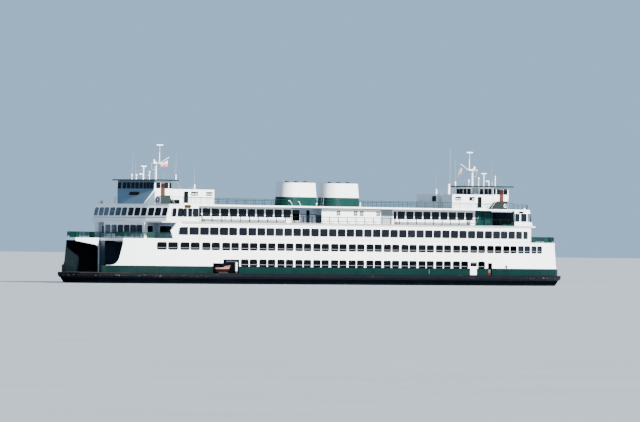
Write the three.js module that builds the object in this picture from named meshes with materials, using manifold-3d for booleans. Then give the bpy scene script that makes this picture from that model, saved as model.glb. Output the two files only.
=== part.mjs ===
// A double-ended steel car ferry, as a scale model. Every size below is the real ship's, in metres,
// and the group scales them to the model's millimetres.
// +X runs along the ship, +Z is up, and the origin is amidships on the centreline at the waterline.
// Half a turn about Z brings the ship onto itself, so pieces come in pairs: each is written once, for
// one side or end, and turned half round for the other.
import * as THREE from "three";
import { mergeVertices } from "three/addons/utils/BufferGeometryUtils.js";
import Module from "manifold-3d";

const wasm = await Module();
wasm.setup();

const SCALE_DENOMINATOR = 10;
const MM_PER_METRE = 1000 / SCALE_DENOMINATOR;
const GAP = 0.004;
const SHARED_CUT = 0.02;

// Plan of the ship's side at the car deck: parallel amidships, then fined down to blunt round ends.
const HALF_BEAM = 10.8;
const PARALLEL_END = 27.5;
const FINING = 0.00206;
const FINING_POWER = 2.4;
const NOSE_START = 52.5;
const SHIP_TIP = 57.9;
const GUARD_WIDTH = 0.35;
const GUARD_FOOT_WIDTH = 0.1;

// Heights of the decks above the waterline, each at the top of its plate.
const Z = {
  keel: -5.6, counter: -1.2, guardLow: 0.85, guardKnee: 1.2, hullTop: 1.62, car: 1.72, bulwark: 2.88,
  platform: 4.7, cabinUnder: 6.8, cabin: 7.2, sunUnder: 9.75, sun: 9.95, bridgeUnder: 12.45,
  bridge: 12.7, blockTop: 15.14, wheelhouseTop: 16.45, roofTop: 16.6,
};

// Side openings: pairs of ports in two rows, a port's width and the post between two.
const PORT = { pitch: 4.24, pairs: 22, lowPairs: 14, width: 1.65, post: 0.28, lowZ: [2.86, 3.87], highZ: [5.45, 6.5] };
const SHELL = { thick: 0.12, endX: 52.0, bulwarkEndX: 54.4 };
const BOAT_BAY = { x: [-35.6, -29.8], stepX: -33.4, lowTop: 3.37, highTop: 3.97 };
const GANGWAY = { x: [25.76, 27.42], gateTop: 3.18, hingeR: 0.036 };
const DOORWAY = { x: [30.2, 31.3], top: 3.76 };

// The casings flank the centre tunnel. Plates on their outer faces carry the forks of the cabin deck.
const CASING = { inner: 3.2, outer: 4.3, endX: 46.4 };
const FORK = { tipX: 52.0, rootX: 46.4, inner: 4.3 };
const BRACKET = { rearX: 45.6, footX: 46.6, rootZ: 5.55, kneeX: 47.5, kneeZ: 6.13, tipX: 51.9, tipZ: 6.72, thick: 0.2 };
const PLATFORM = { endX: 38, thick: 0.2 };

const WALL = 0.15;
const CABIN = { wideEndX: 42.4, narrowEndX: 45.3, narrowHalf: 4.5 };
const WING = { topX: 42.65, kneeX: 43.95, kneeZ: 8.46, footX: 43.5 };
const LOUNGE = { frontX: 44.3, midX: 44.1, midY: 4.2, cornerX: 43.5, cornerY: 8.2, sideX: 41.7, innerX: 38.6, footOut: 0.7 };
const SUN = { frontX: 45.3, cornerX: 44.9, cornerY: 8.0, sideX: 43.9 };
const PROMENADE_Y = 8.2;
const MID_HOUSE = { x: [-9.0, 5.2], y: 9.4 };
const SHELTER = { x: [34.1, 37.4], y: 5.0, outerEndX: 37.4 };
const BRIDGE_HALF = 10.5;

const BLOCK = { x: [28.7, 38.8], half: 4.0 };
const WHEELHOUSE = {
  rearX: 38.81, sideX: 42.4, half: 4.15, topX: 42.6, topHalf: 4.1, sillZ: 15.0, sillX: 42.72, footX: 43.9, footHalf: 2.9,
  floor: 14.0, wall: 0.12,
};
const ROOF = { x: [37.9, 43.1], half: 4.82 };
const DOOR = { x: [40.45, 41.2], z: [14.05, 16.0], lap: 0.06, thick: 0.05, wallGap: 0.055, travel: 0.75 };
const DOOR_TRACK = { out: 0.08, z: [16.14, 16.2] };
const LANDING = {
  top: 14.0, plate: 0.12, y: [4.3, 5.1], screen: 0.05, screenTop: 14.1,
  screened: { x: [40.0, 42.25], footX: [40.0, 42.25], stairX: 38.95 },
  splayed: { x: [38.7, 41.45], footX: [37.75, 41.3], stairX: 37.4 },
};
const BENCH = { left: [-36.0, -17.0], right: [9.8, 29.2], y: [8.26, 8.9], seatTop: 10.42, back: 0.16, top: 10.8 };

const FUNNEL = { x: 5.13, length: 7.9, width: 4.6, corner: 2.15, topIn: 0.33, top: 16.6, well: 0.5, rim: 0.15 };
const MAST = { x: 38.15, top: 19.5, armX: 37.35, topmastTop: 22.1, crosstreeZ: 19.3, crosstreeHalf: 1.1 };
const GAFF = { footX: 37.4, footZ: 19.2, peakX: 35.1, peakZ: 20.3, r: 0.035 };
const PEDESTAL = { x: 41.0, top: 18.5 };
const FLAG = {
  thick: 0.02, halyardX: 35.35, halyardR: 0.025, halyardFoot: 18.2, halyardTop: 20.13,
  drooping: [[35.4, 19.55], [34.5, 18.75], [34.55, 18.2], [35.35, 18.3]],
  flying: [[-35.35, 19.85], [-37.2, 18.95], [-37.25, 18.7], [-35.3, 18.72]],
};

const SHAFT_Z = -3.4;
const BOSS = { r: 0.75, endX: 48.3 };
const PROPELLER = { x: 48.9, hubR: 0.55, hubLength: 1.19, r: 2.0, blades: 4 };
const RUDDER = { x: [51.2, 54.6], z: [-5.3, -1.5], stockX: 52.2, stockR: 0.22 };
const ENGINE_ROOM = { x: 12, half: 5, floor: -3.6 };
const BOAT = { x: -32.75, y: -9.55, length: 4.2, beam: 1.5, keelZ: 1.96, gunwaleZ: 2.6, bowRise: 0.45 };
const DAVIT = { x: -30.05, y: -10.3, r: 0.16, armZ: [3.55, 3.75], reach: 2.4 };

const COLOURS = {
  white: [0xf2f3f1, 0.45, 0.0], green: [0x1f5b52, 0.45, 0.0], black: [0x14171c, 0.6, 0.0],
  purpleGrey: [0x3a3742, 0.7, 0.0], deckGrey: [0x5a6062, 0.85, 0.0], navy: [0x2b3038, 0.5, 0.3],
  orange: [0xe0662a, 0.5, 0.0], wood: [0xa8592b, 0.5, 0.0], bronze: [0xa9813f, 0.35, 0.9],
  red: [0xb04a4c, 0.9, 0.0], steel: [0x9aa0a3, 0.4, 0.7],
};

// Booleans: a geometry becomes a solid, and the result comes back as a geometry.
function toSolid(geometry) {
  const bare = geometry.clone();
  for (const name of ["normal", "uv"]) bare.deleteAttribute(name);
  const merged = mergeVertices(bare, 1e-5);
  return new wasm.Manifold(
    new wasm.Mesh({
      numProp: 3,
      vertProperties: merged.attributes.position.array,
      triVerts: new Uint32Array(merged.index.array),
    }),
  );
}

function toGeometry(solid) {
  const mesh = solid.getMesh();
  const geometry = new THREE.BufferGeometry();
  geometry.setAttribute("position", new THREE.BufferAttribute(mesh.vertProperties, 3));
  geometry.setIndex(new THREE.BufferAttribute(mesh.triVerts, 1));
  return geometry;
}

function join(...geometries) {
  return toGeometry(geometries.map(toSolid).reduce((a, b) => a.add(b)));
}

function cut(geometry, ...tools) {
  return toGeometry(tools.map(toSolid).reduce((a, b) => a.subtract(b), toSolid(geometry)));
}

// Basic shapes, each given by its real corners.
function box([x0, x1], [y0, y1], [z0, z1]) {
  const geometry = new THREE.BoxGeometry(x1 - x0, y1 - y0, z1 - z0);
  return geometry.translate((x0 + x1) / 2, (y0 + y1) / 2, (z0 + z1) / 2);
}

function plate(points, z0, z1) {
  const shape = new THREE.Shape(points.map(([x, y]) => new THREE.Vector2(x, y)));
  return new THREE.ExtrudeGeometry(shape, { depth: z1 - z0, bevelEnabled: false, steps: 1 }).translate(0, 0, z0);
}

// An outline in the XZ plane, extruded along Y from y0 to y1.
function sidePlate(points, y0, y1) {
  return plate(points, -y1, -y0).rotateX(Math.PI / 2);
}

function post(x, y, z0, z1, r, rTop = r, sides = 8) {
  const geometry = new THREE.CylinderGeometry(rTop, r, z1 - z0, sides);
  return geometry.rotateX(Math.PI / 2).translate(x, y, (z0 + z1) / 2);
}

// A round bar from one point to another.
function bar(from, to, r, sides = 6) {
  const a = new THREE.Vector3(...from);
  const b = new THREE.Vector3(...to);
  const geometry = new THREE.CylinderGeometry(r, r, a.distanceTo(b), sides);
  const turn = new THREE.Quaternion().setFromUnitVectors(new THREE.Vector3(0, 1, 0), b.clone().sub(a).normalize());
  return geometry.applyQuaternion(turn).translate(...a.add(b).multiplyScalar(0.5).toArray());
}

// A closed body through rings of points, from the lowest ring to the highest, each ring anticlockwise.
function loft(rings) {
  const count = rings[0].length;
  const positions = rings.flat(2);
  const index = [];
  for (let r = 0; r + 1 < rings.length; r += 1) {
    for (let i = 0; i < count; i += 1) {
      const j = (i + 1) % count;
      const [a, b, c, d] = [r * count + i, r * count + j, (r + 1) * count + j, (r + 1) * count + i];
      index.push(a, b, c, a, c, d);
    }
  }
  const flat = (ring) => ring.map(([x, y]) => new THREE.Vector2(x, y));
  const top = (rings.length - 1) * count;
  for (const [a, b, c] of THREE.ShapeUtils.triangulateShape(flat(rings[0]), [])) index.push(a, c, b);
  for (const [a, b, c] of THREE.ShapeUtils.triangulateShape(flat(rings.at(-1)), [])) {
    index.push(top + a, top + b, top + c);
  }
  const geometry = new THREE.BufferGeometry();
  geometry.setAttribute("position", new THREE.Float32BufferAttribute(positions, 3));
  geometry.setIndex(index);
  return geometry;
}

// Half breadth of the ship's side at a station x.
function halfBreadth(x) {
  const from = Math.abs(x);
  const fined = (at) => HALF_BEAM - FINING * Math.max(0, at - PARALLEL_END) ** FINING_POWER;
  if (from <= NOSE_START) return fined(from);
  return fined(NOSE_START) * Math.sqrt(Math.max(0, (SHIP_TIP - from) / (SHIP_TIP - NOSE_START)));
}

const STATIONS = [PARALLEL_END, 33, 38, 42.4, 46.4, 50, NOSE_START, 54.4, 56, 57.2, SHIP_TIP];

// The stations between two places, with both places themselves.
function stationsBetween(x0, x1) {
  const signed = [...STATIONS.map((x) => -x).reverse(), ...STATIONS];
  return [x0, ...signed.filter((x) => x > x0 + 0.2 && x < x1 - 0.2), x1];
}

// Both sides' outline between two stations, moved out by a distance, anticlockwise from the near side.
function sideOutline(x0, x1, out = 0) {
  const near = stationsBetween(x0, x1).map((x) => [x, -halfBreadth(x) - out]);
  const far = near.map(([x, y]) => [x, -y]).reverse();
  const merged = [...near, ...far];
  return merged.filter(([x, y], i) => {
    const [px, py] = merged[(i + merged.length - 1) % merged.length];
    return Math.hypot(x - px, y - py) > 0.01;
  });
}

// A point turned half round about Z, and an outline made whole from its near half.
const halfTurn = ([x, y]) => [-x, -y];
const withFarHalf = (nearHalf) => [...nearHalf, ...nearHalf.map(halfTurn)];

// An outline moved inwards by a wall's thickness.
function inset(points, distance) {
  return points.map(([x, y], i) => {
    const [px, py] = points[(i + points.length - 1) % points.length];
    const [nx, ny] = points[(i + 1) % points.length];
    const a = new THREE.Vector2(x - px, y - py).normalize();
    const b = new THREE.Vector2(nx - x, ny - y).normalize();
    const na = new THREE.Vector2(-a.y, a.x);
    const miter = na.clone().add(new THREE.Vector2(-b.y, b.x)).normalize();
    const reach = distance / Math.max(0.3, miter.dot(na));
    return [x + miter.x * reach, y + miter.y * reach];
  });
}

function ringWall(points, wall, z0, z1) {
  return cut(plate(points, z0, z1), plate(inset(points, wall), z0 - 1, z1 + 1));
}

const ship = new THREE.Group();
ship.scale.setScalar(MM_PER_METRE);
export default ship;

function add(name, colour, geometry) {
  const [color, roughness, metalness] = COLOURS[colour];
  const mesh = new THREE.Mesh(geometry, new THREE.MeshStandardMaterial({ color, roughness, metalness }));
  mesh.name = name;
  ship.add(mesh);
  return mesh;
}

// A piece and its twin, turned half round the ship's upright axis.
function addPair(nameA, nameB, colour, geometry) {
  add(nameA, colour, geometry);
  add(nameB, colour, geometry.clone()).rotation.z = Math.PI;
}

// Hull: horizontal sections from the flat keel to the deck, the counters flat over the propellers.
// Columns: height, half length, half beam, fullness of the plan, roundness of its ends.
const HULL_SECTIONS = [
  [Z.keel, 40.0, 7.2, 3.0, 0.8],
  [-5.0, 43.5, 8.9, 3.2, 0.8],
  [SHAFT_Z, 46.6, 9.6, 3.4, 0.85],
  [Z.counter - 0.1, 48.2, 9.85, 3.8, 0.85],
  [Z.counter, 48.4, 9.9, 3.9, 0.85],
  [Z.counter, 55.4, 9.95, 5.0, 0.72],
];
const WATERLINE_IN = 0.35;
const HULL_SPREAD = [0, 0.25, 0.45, 0.6, 0.72, 0.82, 0.9, 0.955, 0.99];

function hullRing([z, halfLength, beam, fullness, roundness]) {
  const spread = [...HULL_SPREAD.slice(1).map((u) => -u).reverse(), ...HULL_SPREAD];
  const near = spread.map((u) => [u * halfLength, -beam * (1 - Math.abs(u) ** fullness) ** roundness, z]);
  const far = near.map(([x, y]) => [x, -y, z]).reverse();
  return [[-halfLength, 0, z], ...near, [halfLength, 0, z], ...far];
}

// The deck's outline moved out by a distance, or in where it is negative.
function deckRing(z, out) {
  const tip = SHIP_TIP + out;
  const spread = [...HULL_SPREAD.slice(1).map((u) => -u).reverse(), ...HULL_SPREAD];
  const near = spread.map((u) => [u * tip, -halfBreadth(u * SHIP_TIP) - out, z]);
  const far = near.map(([x, y]) => [x, -y, z]).reverse();
  return [[-tip, 0, z], ...near, [tip, 0, z], ...far];
}

function makeHull() {
  const topsides = [deckRing(0, -WATERLINE_IN), deckRing(Z.guardLow - 0.1, 0), deckRing(Z.hullTop, 0)];
  const body = loft([...HULL_SECTIONS.map(hullRing), ...topsides]);
  const bossLength = BOSS.endX * 2;
  const boss = new THREE.CylinderGeometry(BOSS.r, BOSS.r, bossLength, 12).rotateZ(Math.PI / 2).translate(0, 0, SHAFT_Z);
  const room = box([-ENGINE_ROOM.x, ENGINE_ROOM.x], [-ENGINE_ROOM.half, ENGINE_ROOM.half], [ENGINE_ROOM.floor, 3]);
  return cut(join(body, boss), room);
}
add("hull", "black", makeHull());
add("engine_block", "steel", box(
  [-ENGINE_ROOM.x + 1, ENGINE_ROOM.x - 1], [-ENGINE_ROOM.half + 1, ENGINE_ROOM.half - 1],
  [ENGINE_ROOM.floor + GAP, 0.4],
));

// Guard belt: upright outside, and sloped back to the hull at its foot.
const deckOutline = (out) => deckRing(0, out).map(([x, y]) => [x, y]);
add("guard_belt", "purpleGrey", cut(
  loft([deckRing(Z.guardLow, GUARD_FOOT_WIDTH), deckRing(Z.guardKnee, GUARD_WIDTH), deckRing(Z.car, GUARD_WIDTH)]),
  plate(deckOutline(GAP), Z.guardLow - 1, Z.car + 1),
));

// Car deck, with the cradles of the two rescue boats.
const cradle = box(
  [BOAT.x - 1.1, BOAT.x + 1.1], [BOAT.y - 0.5, BOAT.y + 0.5], [Z.car - SHARED_CUT, BOAT.keelZ - GAP],
);
add("car_deck", "deckGrey", join(
  plate(deckOutline(-GAP), Z.hullTop + GAP, Z.car), cradle, cradle.clone().rotateZ(Math.PI),
));

// Side shell: the strip of side plating, its ports, bays and doors cut, its ends raked.
function portBoxes(pairCount, [z0, z1], keep) {
  const boxes = [];
  for (let k = 0; k < pairCount; k += 1) {
    const centre = (k - (pairCount - 1) / 2) * PORT.pitch;
    for (const side of [-1, 1]) {
      const near = centre + side * PORT.post / 2;
      const x = [near, near + side * PORT.width].sort((a, b) => a - b);
      if (keep(x)) boxes.push(box(x, [-HALF_BEAM - 1, -5.5], [z0, z1]));
    }
  }
  return boxes;
}

// The end of the shell above the bulwark: raked outwards, and swept forward onto the bulwark's top.
function shellEndCut(side) {
  const swept = new THREE.Path();
  swept.moveTo(SHELL.endX, Z.cabinUnder + 1);
  swept.lineTo(SHELL.endX, 6.3);
  swept.lineTo(SHELL.endX + 0.5, 4.3);
  swept.quadraticCurveTo(SHELL.endX + 0.8, Z.bulwark, SHELL.bulwarkEndX - 0.6, Z.bulwark);
  const edge = swept.getPoints(4).map(({ x, y }) => [x, y]);
  const outline = [...edge, [60, Z.bulwark], [60, Z.cabinUnder + 1]];
  return sidePlate(outline.map(([x, z]) => [x * side, z]), -HALF_BEAM - 1, -1);
}

function makeShell() {
  const outer = stationsBetween(-SHELL.bulwarkEndX, SHELL.bulwarkEndX).map((x) => [x, -halfBreadth(x)]);
  const inner = outer.map(([x, y]) => [x, y + SHELL.thick]).reverse();
  const strip = plate([...outer, ...inner], Z.car + GAP, Z.cabinUnder - GAP);
  const low = portBoxes(PORT.lowPairs, PORT.lowZ, ([x0]) => x0 < GANGWAY.x[0] - 0.1 || x0 > GANGWAY.x[1] - 0.1);
  const clearOfBay = ([x0]) => x0 > BOAT_BAY.x[1] - 0.1;
  const high = portBoxes(PORT.pairs, PORT.highZ, () => true);
  const through = [-HALF_BEAM - 1, -5.5];
  const bays = [
    box([BOAT_BAY.x[0], BOAT_BAY.stepX + SHARED_CUT], through, [0, BOAT_BAY.lowTop]),
    box([BOAT_BAY.stepX, BOAT_BAY.x[1]], through, [0, BOAT_BAY.highTop]),
    box(GANGWAY.x, through, [0, PORT.lowZ[1]]),
    box(DOORWAY.x, through, [0, DOORWAY.top]),
  ];
  const lowClear = low.filter((port) => {
    port.computeBoundingBox();
    return clearOfBay([port.boundingBox.min.x]);
  });
  return cut(strip, shellEndCut(1), shellEndCut(-1), ...lowClear, ...high, ...bays);
}
addPair("side_shell_near", "side_shell_far", "white", makeShell());

// Gangway gate, hung on a pin beside the opening's left jamb.
const gateZ = [Z.car + 0.06, GANGWAY.gateTop];
const gateHinge = [GANGWAY.x[0] + GANGWAY.hingeR + GAP, -HALF_BEAM + 0.03];
addPair("side_gate_near", "side_gate_far", "white", join(
  box([gateHinge[0], GANGWAY.x[1] - 0.05], [-HALF_BEAM + 0.01, -HALF_BEAM + 0.09], gateZ),
  post(...gateHinge, gateZ[0], gateZ[1] + 0.05, GANGWAY.hingeR),
));

// Casing: a wall body, with a bracket plate at each end under the fork's inner edge.
function bracketOutline() {
  const { rearX, footX, rootZ, kneeX, kneeZ, tipX, tipZ } = BRACKET;
  const outline = new THREE.Path();
  outline.moveTo(rearX, Z.car + GAP);
  outline.lineTo(footX, Z.car + GAP);
  outline.lineTo(footX, rootZ);
  outline.quadraticCurveTo(footX + 0.1, kneeZ - 0.13, kneeX, kneeZ);
  outline.lineTo(tipX, tipZ);
  outline.lineTo(tipX, Z.cabinUnder - GAP);
  outline.lineTo(rearX, Z.cabinUnder - GAP);
  return outline.getPoints(4).map(({ x, y }) => [x, y]);
}

function makeCasing() {
  const z = [Z.car + GAP, Z.cabinUnder - GAP];
  const right = bracketOutline();
  const left = right.map(([x, height]) => [-x, height]).reverse();
  const y = [-CASING.outer - BRACKET.thick, -CASING.outer + SHARED_CUT];
  return join(
    box([-CASING.endX, CASING.endX], [-CASING.outer, -CASING.inner], z), sidePlate(right, ...y), sidePlate(left, ...y),
  );
}
addPair("casing_near", "casing_far", "white", makeCasing());

// Upper car deck in the side lane, between the casing and the shell.
const platformEdge = stationsBetween(-PLATFORM.endX, PLATFORM.endX).map((x) => [x, -halfBreadth(x) + SHELL.thick + GAP]);
const platformOutline = [...platformEdge, [PLATFORM.endX, -CASING.outer - GAP], [-PLATFORM.endX, -CASING.outer - GAP]];
addPair("upper_car_deck_near", "upper_car_deck_far", "deckGrey",
  plate(platformOutline, Z.platform - PLATFORM.thick, Z.platform));

// Cabin deck: the whole breadth, forked at both ends round an open gap.
const forkGap = box([FORK.rootX, 60], [-FORK.inner, FORK.inner], [0, 20]);
add("cabin_deck", "white", cut(
  plate(sideOutline(-FORK.tipX, FORK.tipX), Z.cabinUnder, Z.cabin), forkGap, forkGap.clone().rotateZ(Math.PI),
));

// Cabin house: the whole breadth amidships, narrower between the end shelters, and a raked wing
// of side wall at the near left end.
function makeCabinHouse() {
  const [wide, narrow, half] = [CABIN.wideEndX, CABIN.narrowEndX, CABIN.narrowHalf];
  const side = stationsBetween(-wide, wide).map((x) => [x, -halfBreadth(x)]);
  const rightEnd = [[wide, -half], [narrow, -half]];
  const body = ringWall(withFarHalf([...side, ...rightEnd, [narrow, half], [wide, half]]), WALL, Z.cabin + GAP, Z.sunUnder - GAP);
  const wingX = [-WING.kneeX, -wide + WALL];
  const wingOuter = [wingX[0], wingX[1]].map((x) => [x, -halfBreadth(x)]);
  const wingInner = wingOuter.map(([x, y]) => [x, y + WALL]).reverse();
  const wing = plate([...wingOuter, ...wingInner], Z.cabin + GAP, Z.sunUnder - GAP);
  const above = sidePlate([[-WING.topX, Z.sun], [-WING.kneeX, WING.kneeZ], [-60, WING.kneeZ], [-60, Z.sun]], -12, -5);
  const below = sidePlate([[-WING.kneeX, WING.kneeZ], [-WING.footX, Z.cabin], [-60, Z.cabin], [-60, WING.kneeZ]], -12, -5);
  const raked = cut(wing, above, below);
  return join(body, raked, raked.clone().rotateZ(Math.PI));
}
add("cabin_house", "white", makeCabinHouse());

// Sun deck, with bowed fronts that stand out past the lounges.
const bowedEnd = ({ frontX, cornerX, cornerY, midX, midY }) => [
  [cornerX, -cornerY],
  [midX ?? frontX - 0.12, -(midY ?? cornerY / 2)],
  [frontX, 0],
  [midX ?? frontX - 0.12, midY ?? cornerY / 2],
  [cornerX, cornerY],
];
const sunSide = stationsBetween(-SUN.sideX, SUN.sideX).map((x) => [x, -halfBreadth(x)]);
add("sun_deck", "white", plate(withFarHalf([...sunSide, ...bowedEnd(SUN)]), Z.sunUnder, Z.sun));

// Sun deck house: two bowed end lounges out to the ship's side, whose end walls lean out to the foot;
// between them walls set back behind the promenade, a middle house that stands out, and an open
// shelter by the near right lounge.
const loungeSide = (x) => -halfBreadth(x) + 0.08;

function loungeEnd(z) {
  const out = LOUNGE.footOut * (Z.bridgeUnder - z) / (Z.bridgeUnder - Z.sun);
  const { frontX, midX, cornerX } = LOUNGE;
  return bowedEnd({ ...LOUNGE, frontX: frontX + out, midX: midX + out, cornerX: cornerX + out });
}

function sunHouseOutline(z) {
  return withFarHalf([
    [-LOUNGE.sideX, loungeSide(LOUNGE.sideX)],
    [-LOUNGE.innerX, loungeSide(LOUNGE.innerX)],
    [-LOUNGE.innerX, -PROMENADE_Y],
    [MID_HOUSE.x[0], -PROMENADE_Y],
    [MID_HOUSE.x[0], -MID_HOUSE.y],
    [MID_HOUSE.x[1], -MID_HOUSE.y],
    [MID_HOUSE.x[1], -PROMENADE_Y],
    [SHELTER.x[0], -PROMENADE_Y],
    [SHELTER.x[0], -SHELTER.y],
    [SHELTER.x[1], -SHELTER.y],
    [SHELTER.outerEndX, loungeSide(SHELTER.outerEndX)],
    [LOUNGE.sideX, loungeSide(LOUNGE.sideX)],
    ...loungeEnd(z),
  ]);
}

const atHeight = (outline, z) => outline.map(([x, y]) => [x, y, z]);
const sunHouseRing = (z) => atHeight(sunHouseOutline(z), z);
const sunHouseInner = (z) => atHeight(inset(sunHouseOutline(z), WALL), z);
add("sun_house", "white", cut(
  loft([sunHouseRing(Z.sun + GAP), sunHouseRing(Z.bridgeUnder - GAP)]),
  loft([sunHouseInner(Z.sun - 0.5), sunHouseInner(Z.bridgeUnder + 0.5)]),
));

// Bench along the promenade's wall: a seat box with a raised back.
function makeBench(x) {
  const { y, seatTop, back, top } = BENCH;
  return join(
    box(x, [-y[1], -y[0]], [Z.sun + GAP, seatTop]),
    box(x, [-y[0] - back, -y[0]], [seatTop - SHARED_CUT, top]),
  );
}
addPair("bench_near_left", "bench_far_right", "white", makeBench(BENCH.left));
addPair("bench_near_right", "bench_far_left", "white", makeBench(BENCH.right));

// Bridge deck: the promenades' roof, out to the lounges' sides and fronts.
const bridgeSide = stationsBetween(-LOUNGE.sideX, LOUNGE.sideX)
  .map((x) => [x, Math.max(-BRIDGE_HALF, loungeSide(x))]);
add("bridge_deck", "white", plate(withFarHalf([...bridgeSide, ...bowedEnd(LOUNGE)]), Z.bridgeUnder, Z.bridge));

// Officers' block: a box open below onto the bridge deck.
const block = cut(
  box(BLOCK.x, [-BLOCK.half, BLOCK.half], [Z.bridge + GAP, Z.blockTop]),
  box([BLOCK.x[0] + WALL, BLOCK.x[1] - WALL], [-BLOCK.half + WALL, BLOCK.half - WALL], [Z.bridge - 1, Z.blockTop - WALL]),
);
addPair("officers_block_right", "officers_block_left", "white", block);

// Wheelhouse: its front leans outwards to the foot and narrows there; hollow above its floor, with a
// doorway and a door track on each side.
function wheelhouseRing(z, wall) {
  const { rearX, sideX, half, topX, topHalf, sillZ, sillX, footX, footHalf } = WHEELHOUSE;
  const low = Math.min(1, (z - Z.bridge) / (sillZ - Z.bridge));
  const high = Math.min(1, Math.max(0, (z - sillZ) / (Z.wheelhouseTop - sillZ)));
  const frontX = footX + (sillX - footX) * low + (topX - sillX) * high;
  const frontHalf = footHalf + (topHalf - footHalf) * low;
  const outline = [[rearX, -half], [sideX, -half], [frontX, -frontHalf], [frontX, frontHalf], [sideX, half], [rearX, half]];
  return atHeight(wall ? inset(outline, wall) : outline, z);
}

function makeWheelhouse() {
  const { floor, wall, half, sillZ } = WHEELHOUSE;
  const body = loft([Z.bridge + GAP, sillZ, Z.wheelhouseTop].map((z) => wheelhouseRing(z, 0)));
  const room = loft([floor, sillZ, Z.wheelhouseTop + 0.5].map((z) => wheelhouseRing(z, wall)));
  const doors = [-1, 1].map((side) => box(DOOR.x, [side * half - 0.3, side * half + 0.3], DOOR.z));
  const tracks = [-1, 1].map((side) => box(
    [DOOR.x[0] - DOOR.travel - DOOR.lap, DOOR.x[1] + DOOR.lap],
    [side * (half - SHARED_CUT), side * (half + DOOR_TRACK.out)].sort((a, b) => a - b),
    DOOR_TRACK.z,
  ));
  return join(cut(body, room, ...doors), ...tracks);
}
addPair("wheelhouse_right", "wheelhouse_left", "white", makeWheelhouse());

// Sliding door: a panel that hangs by two hooks over its track.
function makeDoor(side) {
  const across = (from, to) => [side * (WHEELHOUSE.half + from), side * (WHEELHOUSE.half + to)].sort((a, b) => a - b);
  const { wallGap, thick, lap } = DOOR;
  const hookTop = DOOR_TRACK.z[1] + GAP + 0.05;
  const hooks = [DOOR.x[0] + 0.05, DOOR.x[1] - 0.13].flatMap((x) => [
    box([x, x + 0.08], across(DOOR_TRACK.out + GAP, wallGap + thick), [DOOR.z[1], hookTop]),
    box([x, x + 0.08], across(0.02, wallGap + thick), [DOOR_TRACK.z[1] + GAP, hookTop]),
  ]);
  const panel = box([DOOR.x[0] - lap, DOOR.x[1] + lap], across(wallGap, wallGap + thick), [DOOR.z[0] - 0.02, DOOR.z[1] + lap]);
  return join(panel, ...hooks);
}
addPair("wheelhouse_door_near_right", "wheelhouse_door_far_left", "wood", makeDoor(-1));
addPair("wheelhouse_door_far_right", "wheelhouse_door_near_left", "wood", makeDoor(1));

// Roof with the pedestal of the lower radar.
const roof = join(
  box(ROOF.x, [-ROOF.half, ROOF.half], [Z.wheelhouseTop + GAP, Z.roofTop]),
  post(PEDESTAL.x, 0, Z.roofTop - SHARED_CUT, PEDESTAL.top, 0.1),
);
addPair("wheelhouse_roof_right", "wheelhouse_roof_left", "green", roof);

// Landing outside a wheelhouse door, on the +Y side: a floor, a screen down to the bridge deck, legs
// behind it and a steep stair.
function makeLanding({ x, footX, stairX }) {
  const { top, plate: thick, y: [y0, y1], screen, screenTop } = LANDING;
  const foot = Z.bridge + GAP;
  const outline = [[footX[0], foot], [footX[1], foot], [x[1], screenTop], [x[0], screenTop]];
  const stair = [[x[0] + 0.1, top], [stairX, foot], [stairX + 0.3, foot], [x[0] + 0.1, top - 0.3]];
  return join(
    box(x, [y0, y1], [top - thick, top]),
    sidePlate(outline, y1 - screen, y1),
    post(x[0] + 0.15, y0 + 0.15, foot, top - SHARED_CUT, 0.06, 0.06, 6),
    post(x[1] - 0.15, y0 + 0.15, foot, top - SHARED_CUT, 0.06, 0.06, 6),
    sidePlate(stair, y0 + 0.15, y1 - 0.15),
  );
}
const acrossShip = (geometry) => toGeometry(toSolid(geometry).mirror([0, 1, 0]));
addPair("door_landing_far_right", "door_landing_near_left", "green", makeLanding(LANDING.screened));
addPair("door_landing_near_right", "door_landing_far_left", "green", acrossShip(makeLanding(LANDING.splayed)));

// Mast on the wheelhouse roof: pole, crosstree, arm and topmast, and the gaff.
function makeMast() {
  const scannerGap = 0.12;
  return join(
    post(MAST.x, 0, Z.roofTop + GAP, MAST.top, 0.16, 0.12),
    bar([MAST.x, -MAST.crosstreeHalf, MAST.crosstreeZ], [MAST.x, MAST.crosstreeHalf, MAST.crosstreeZ], 0.07),
    bar([MAST.x + 0.1, 0, MAST.crosstreeZ], [MAST.armX - 0.1, 0, MAST.crosstreeZ], 0.08),
    post(MAST.armX, 0, MAST.crosstreeZ - 0.1, MAST.topmastTop - scannerGap, 0.09, 0.06),
    bar([GAFF.footX, 0, GAFF.footZ], [GAFF.peakX, 0, GAFF.peakZ], GAFF.r),
  );
}
addPair("mast_right", "mast_left", "white", makeMast());

// Radar scanner: a bar on a short hub that turns on its post.
function makeScanner(x, z, length) {
  return join(
    box([x - length / 2, x + length / 2], [-0.09, 0.09], [z + 0.16, z + 0.32]),
    post(x, 0, z + GAP, z + 0.2, 0.1),
  );
}
addPair("radar_top_right", "radar_top_left", "white", makeScanner(MAST.armX, MAST.topmastTop - 0.12, 1.5));
addPair("radar_low_right", "radar_low_left", "white", makeScanner(PEDESTAL.x, PEDESTAL.top, 1.3));

// Flag on its halyard under the gaff's peak: one droops and the other flies.
function makeFlag(cloth, halyardX) {
  const { thick, halyardR, halyardFoot, halyardTop } = FLAG;
  return join(sidePlate(cloth, -thick / 2, thick / 2), post(halyardX, 0, halyardFoot, halyardTop, halyardR));
}
add("flag_right", "red", makeFlag(FLAG.drooping, FLAG.halyardX));
add("flag_left", "red", makeFlag(FLAG.flying, -FLAG.halyardX));

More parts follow.
